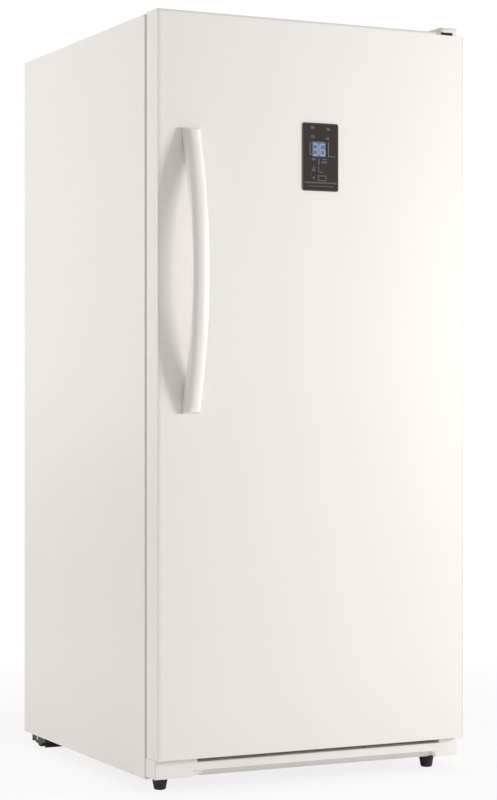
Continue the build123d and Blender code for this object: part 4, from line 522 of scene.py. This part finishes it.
KEY_BARS = (
    (-4.5, -25, 1.8, 14, 0),
    (1.5, -31.2, 9, 1.6, 0),
    (-22, -37, 2.4, 2.4, 0.9),
    (-16, -43, 5, 5, 2.2),
)
KEY_FRAME_SHIFT = (3.5, -43.5)
KEY_FRAME_WIDTH = 20 * MM
KEY_FRAME_HEIGHT = 11.5 * MM
KEY_FRAME_LINE = 1.8 * MM
GLASS_WIDTH = (GLASS_HIGH.x - GLASS_LOW.x) / MM
SEAM_BARS = (
    (0, -53, GLASS_WIDTH - 4, 3.6, 0.8),
    (0, -60, GLASS_WIDTH - 18, 1.8, 0.6),
    (-18, 41, 9, 7, 2.8),
    (16, 39, 8, 6, 2.4),
)

# A seven-segment figure: the sides that are lit for each digit, from the top bar clockwise,
# with the middle bar last.
LIT = {"3": (0, 1, 2, 3, 6), "6": (0, 2, 3, 4, 5, 6)}
DIGIT_WIDTH = 13.5 * MM
DIGIT_HEIGHT = 25 * MM
DIGIT_BAR = 2.6 * MM
DIGIT_CUT = 0.42 * DIGIT_BAR
DIGIT_SHIFT = 8 * MM
DIGIT_DROP = 1 * MM


def on_glass(shift_x, shift_z):
    """A point of the glass, in millimetres from its middle."""
    return GLASS_CENTRE.x + shift_x * MM, GLASS_CENTRE.z + shift_z * MM


def print_bar(shape, centre, width, height, taper=0.0, layer=0):
    """Add one flat bar to the display's print; a taper cuts its corners, a layer lifts it."""
    made = bmesh.ops.create_cube(shape, size=1.0)["verts"]
    bmesh.ops.scale(shape, vec=(width, PRINT_DEPTH, height), verts=made)
    if taper:
        ends = [edge for edge in {edge for vert in made for edge in vert.link_edges}
                if abs(edge.verts[0].co.y - edge.verts[1].co.y) > PRINT_DEPTH / 2]
        result = bmesh.ops.bevel(shape, geom=ends, offset=taper, segments=3, profile=0.5,
                                 affect="EDGES", material=-1)
        made = list({vert for face in result["faces"] for vert in face.verts} | {
            vert for vert in made if vert.is_valid})
    depth = GLASS_LOW.y - PRINT_DEPTH * (layer + 0.5)
    bmesh.ops.translate(shape, vec=(centre[0], depth, centre[1]), verts=made)


def print_bars(shape, bars):
    """Add the bars of one of the lists above."""
    for shift_x, shift_z, width, height, cut in bars:
        print_bar(shape, on_glass(shift_x, shift_z), width * MM, height * MM, taper=cut * MM)


def print_frame(shape, centre, width, height, line):
    """Add a hollow rectangle of four bars."""
    for side in (-1, 1):
        rail = (centre[0], centre[1] + side * (height - line) / 2)
        post = (centre[0] + side * (width - line) / 2, centre[1])
        print_bar(shape, rail, width, line)
        print_bar(shape, post, line, height - 2 * line)


def digit(shape, figure, centre_x, centre_z):
    """Add the lit bars of one figure, a layer above the window."""
    half_width = (DIGIT_WIDTH - DIGIT_BAR) / 2
    quarter = (DIGIT_HEIGHT - DIGIT_BAR) / 4
    flat = (DIGIT_WIDTH - 1.3 * DIGIT_BAR, DIGIT_BAR)
    tall = (DIGIT_BAR, 2 * quarter - 0.5 * DIGIT_BAR)
    bars = (
        (0, 2 * quarter, flat), (half_width, quarter, tall), (half_width, -quarter, tall),
        (0, -2 * quarter, flat), (-half_width, -quarter, tall), (-half_width, quarter, tall),
        (0, 0, flat),
    )
    for number in LIT[figure]:
        shift_x, shift_z, size = bars[number]
        where = (centre_x + shift_x, centre_z + shift_z)
        print_bar(shape, where, *size, taper=DIGIT_CUT, layer=1)


def display_window():
    """The backlit field behind the figures, with the band of marks under it."""
    shape = bmesh.new()
    print_bar(shape, on_glass(*WINDOW_SHIFT), WINDOW_SIZE, WINDOW_SIZE, taper=WINDOW_CUT)
    piece("display_window", shape, WINDOW_LIGHT, "door")
    shape = bmesh.new()
    print_bars(shape, BAND_BARS)
    piece("display_band", shape, BAND_LIGHT, "door")


def display_figures():
    """The two lit figures of the temperature."""
    shape = bmesh.new()
    centre_x, centre_z = on_glass(*WINDOW_SHIFT)
    for figure, side in (("3", -1), ("6", 1)):
        digit(shape, figure, centre_x + side * DIGIT_SHIFT, centre_z - DIGIT_DROP)
    piece("display_figures", shape, BLUE_LIGHT, "door")


def display_marks():
    """The pale brackets beside the window."""
    shape = bmesh.new()
    print_bars(shape, BRACKET_BARS)
    piece("display_marks", shape, PALE_LIGHT, "door")


def control_print():
    """The dim print on the glass: key symbols, and two smudged fields along the top."""
    shape = bmesh.new()
    print_bars(shape, TOP_FIELDS)
    for rung in range(LADDER_RUNGS):
        where = on_glass(LADDER_FOOT[0], LADDER_FOOT[1] + LADDER_STEP * rung)
        width = LADDER_WIDTH - LADDER_NARROWING * rung
        print_bar(shape, where, width * MM, LADDER_LINE * MM)
    print_bars(shape, KEY_BARS)
    print_frame(shape, on_glass(*KEY_FRAME_SHIFT), KEY_FRAME_WIDTH, KEY_FRAME_HEIGHT,
                KEY_FRAME_LINE)
    piece("control_print", shape, DIM_PRINT, "door")


def glass_seam():
    """The joint across the glass over its lower strip, and the faintest marks."""
    shape = bmesh.new()
    print_bars(shape, SEAM_BARS)
    piece("glass_seam", shape, SEAM_PRINT, "door")


display_window()
display_figures()
display_marks()
control_print()
glass_seam()


# ================================================================ studio
def studio_floor():
    """A pale floor that shows white to the camera and keeps the freezer's shadow."""
    shape = bmesh.new()
    bmesh.ops.create_grid(shape, x_segments=1, y_segments=1, size=FLOOR_REACH)
    mesh = bpy.data.meshes.new("studio_floor")
    shape.to_mesh(mesh)
    shape.free()
    floor = bpy.data.objects.new("studio_floor", mesh)
    bpy.context.scene.collection.objects.link(floor)
    paint = Finish("studio_floor_paint", FLOOR_WHITE, 0.9, specular_ior_level=0.2)
    # the camera sees the far floor as plain white, and the near floor with the shadow on it
    x, y, _ = paint.axes()
    far = paint.node("ShaderNodeMapRange", {"interpolation_type": "SMOOTHSTEP"}, {
        "Value": (x ** 2 + y ** 2) ** 0.5, "From Min": FLOOR_NEAR, "From Max": FLOOR_FAR,
        "To Min": FLOOR_LIFT, "To Max": 1.0}).outputs[0]
    seen = Value(paint, paint.node("ShaderNodeLightPath").outputs["Is Camera Ray"]) * far
    white = paint.node("ShaderNodeEmission", inputs={"Color": (1, 1, 1, 1), "Strength": 1.0})
    both = paint.node("ShaderNodeMixShader", inputs={
        0: seen, 1: paint.shader.outputs[0], 2: white.outputs[0]})
    output = paint.tree.nodes["Material Output"]
    paint.tree.links.new(both.outputs[0], output.inputs["Surface"])
    mesh.materials.append(paint.material)


def studio_world():
    """A pale surround that lights the freezer, and shows white behind it."""
    world = bpy.data.worlds.new("studio_world")
    bpy.context.scene.world = world
    world.use_nodes = True
    tree = world.node_tree
    background = tree.nodes["Background"]
    path = tree.nodes.new("ShaderNodeLightPath")
    seen = tree.nodes.new("ShaderNodeMath")
    seen.operation = "MAXIMUM"
    through = tree.nodes.new("ShaderNodeMath")
    through.operation = "MAXIMUM"
    tree.links.new(path.outputs["Is Transmission Ray"], through.inputs[0])
    tree.links.new(path.outputs["Is Glossy Ray"], through.inputs[1])
    tree.links.new(path.outputs["Is Camera Ray"], seen.inputs[0])
    tree.links.new(through.outputs[0], seen.inputs[1])
    tone = tree.nodes.new("ShaderNodeMix")
    tone.data_type = "RGBA"
    tone.inputs[6].default_value = shade(LAMP_COLOR, SURROUND_LEVEL)
    tone.inputs[7].default_value = (1.0, 1.0, 1.0, 1.0)
    tree.links.new(seen.outputs[0], tone.inputs[0])
    tree.links.new(tone.outputs[2], background.inputs["Color"])


def softbox(name, place, target, width, height, power):
    """A flat lamp at a place, turned to face its target."""
    lamp = bpy.data.lights.new(name, "AREA")
    lamp.shape = "RECTANGLE"
    lamp.size, lamp.size_y = width, height
    lamp.energy = power
    lamp.color = LAMP_COLOR
    made = bpy.data.objects.new(name, lamp)
    made.location = place
    made.rotation_euler = (Vector(target) - Vector(place)).to_track_quat("-Z", "Y").to_euler()
    bpy.context.scene.collection.objects.link(made)


def studio_camera():
    """The camera, level and turned to see the door and the cabinet's left side."""
    lens = bpy.data.cameras.new("studio_camera")
    lens.lens = CAMERA_LENS
    lens.sensor_width = CAMERA_FILM
    lens.clip_end = CAMERA_SIGHT
    camera = bpy.data.objects.new("studio_camera", lens)
    bpy.context.scene.collection.objects.link(camera)
    camera.location = CAMERA_PLACE
    ahead = Vector((sin(CAMERA_TURN), cos(CAMERA_TURN), 0.0))
    camera.rotation_euler = ahead.to_track_quat("-Z", "Y").to_euler()
    bpy.context.scene.camera = camera


studio_floor()
studio_world()
softbox("key_softbox", (2.8, -2.35, 1.1), (0.0, -0.35, 0.95), 0.9, 0.9, KEY_POWER)
softbox("side_softbox", (-3.0, 1.2, 1.3), (-0.35, 0.05, 0.85), 1.6, 1.4, SIDE_POWER)
softbox("front_softbox", (-1.4, -2.6, 2.5), (-0.2, -0.35, 1.4), 1.2, 1.2, FRONT_POWER)
studio_camera()
bpy.context.scene.view_settings.view_transform = "Standard"
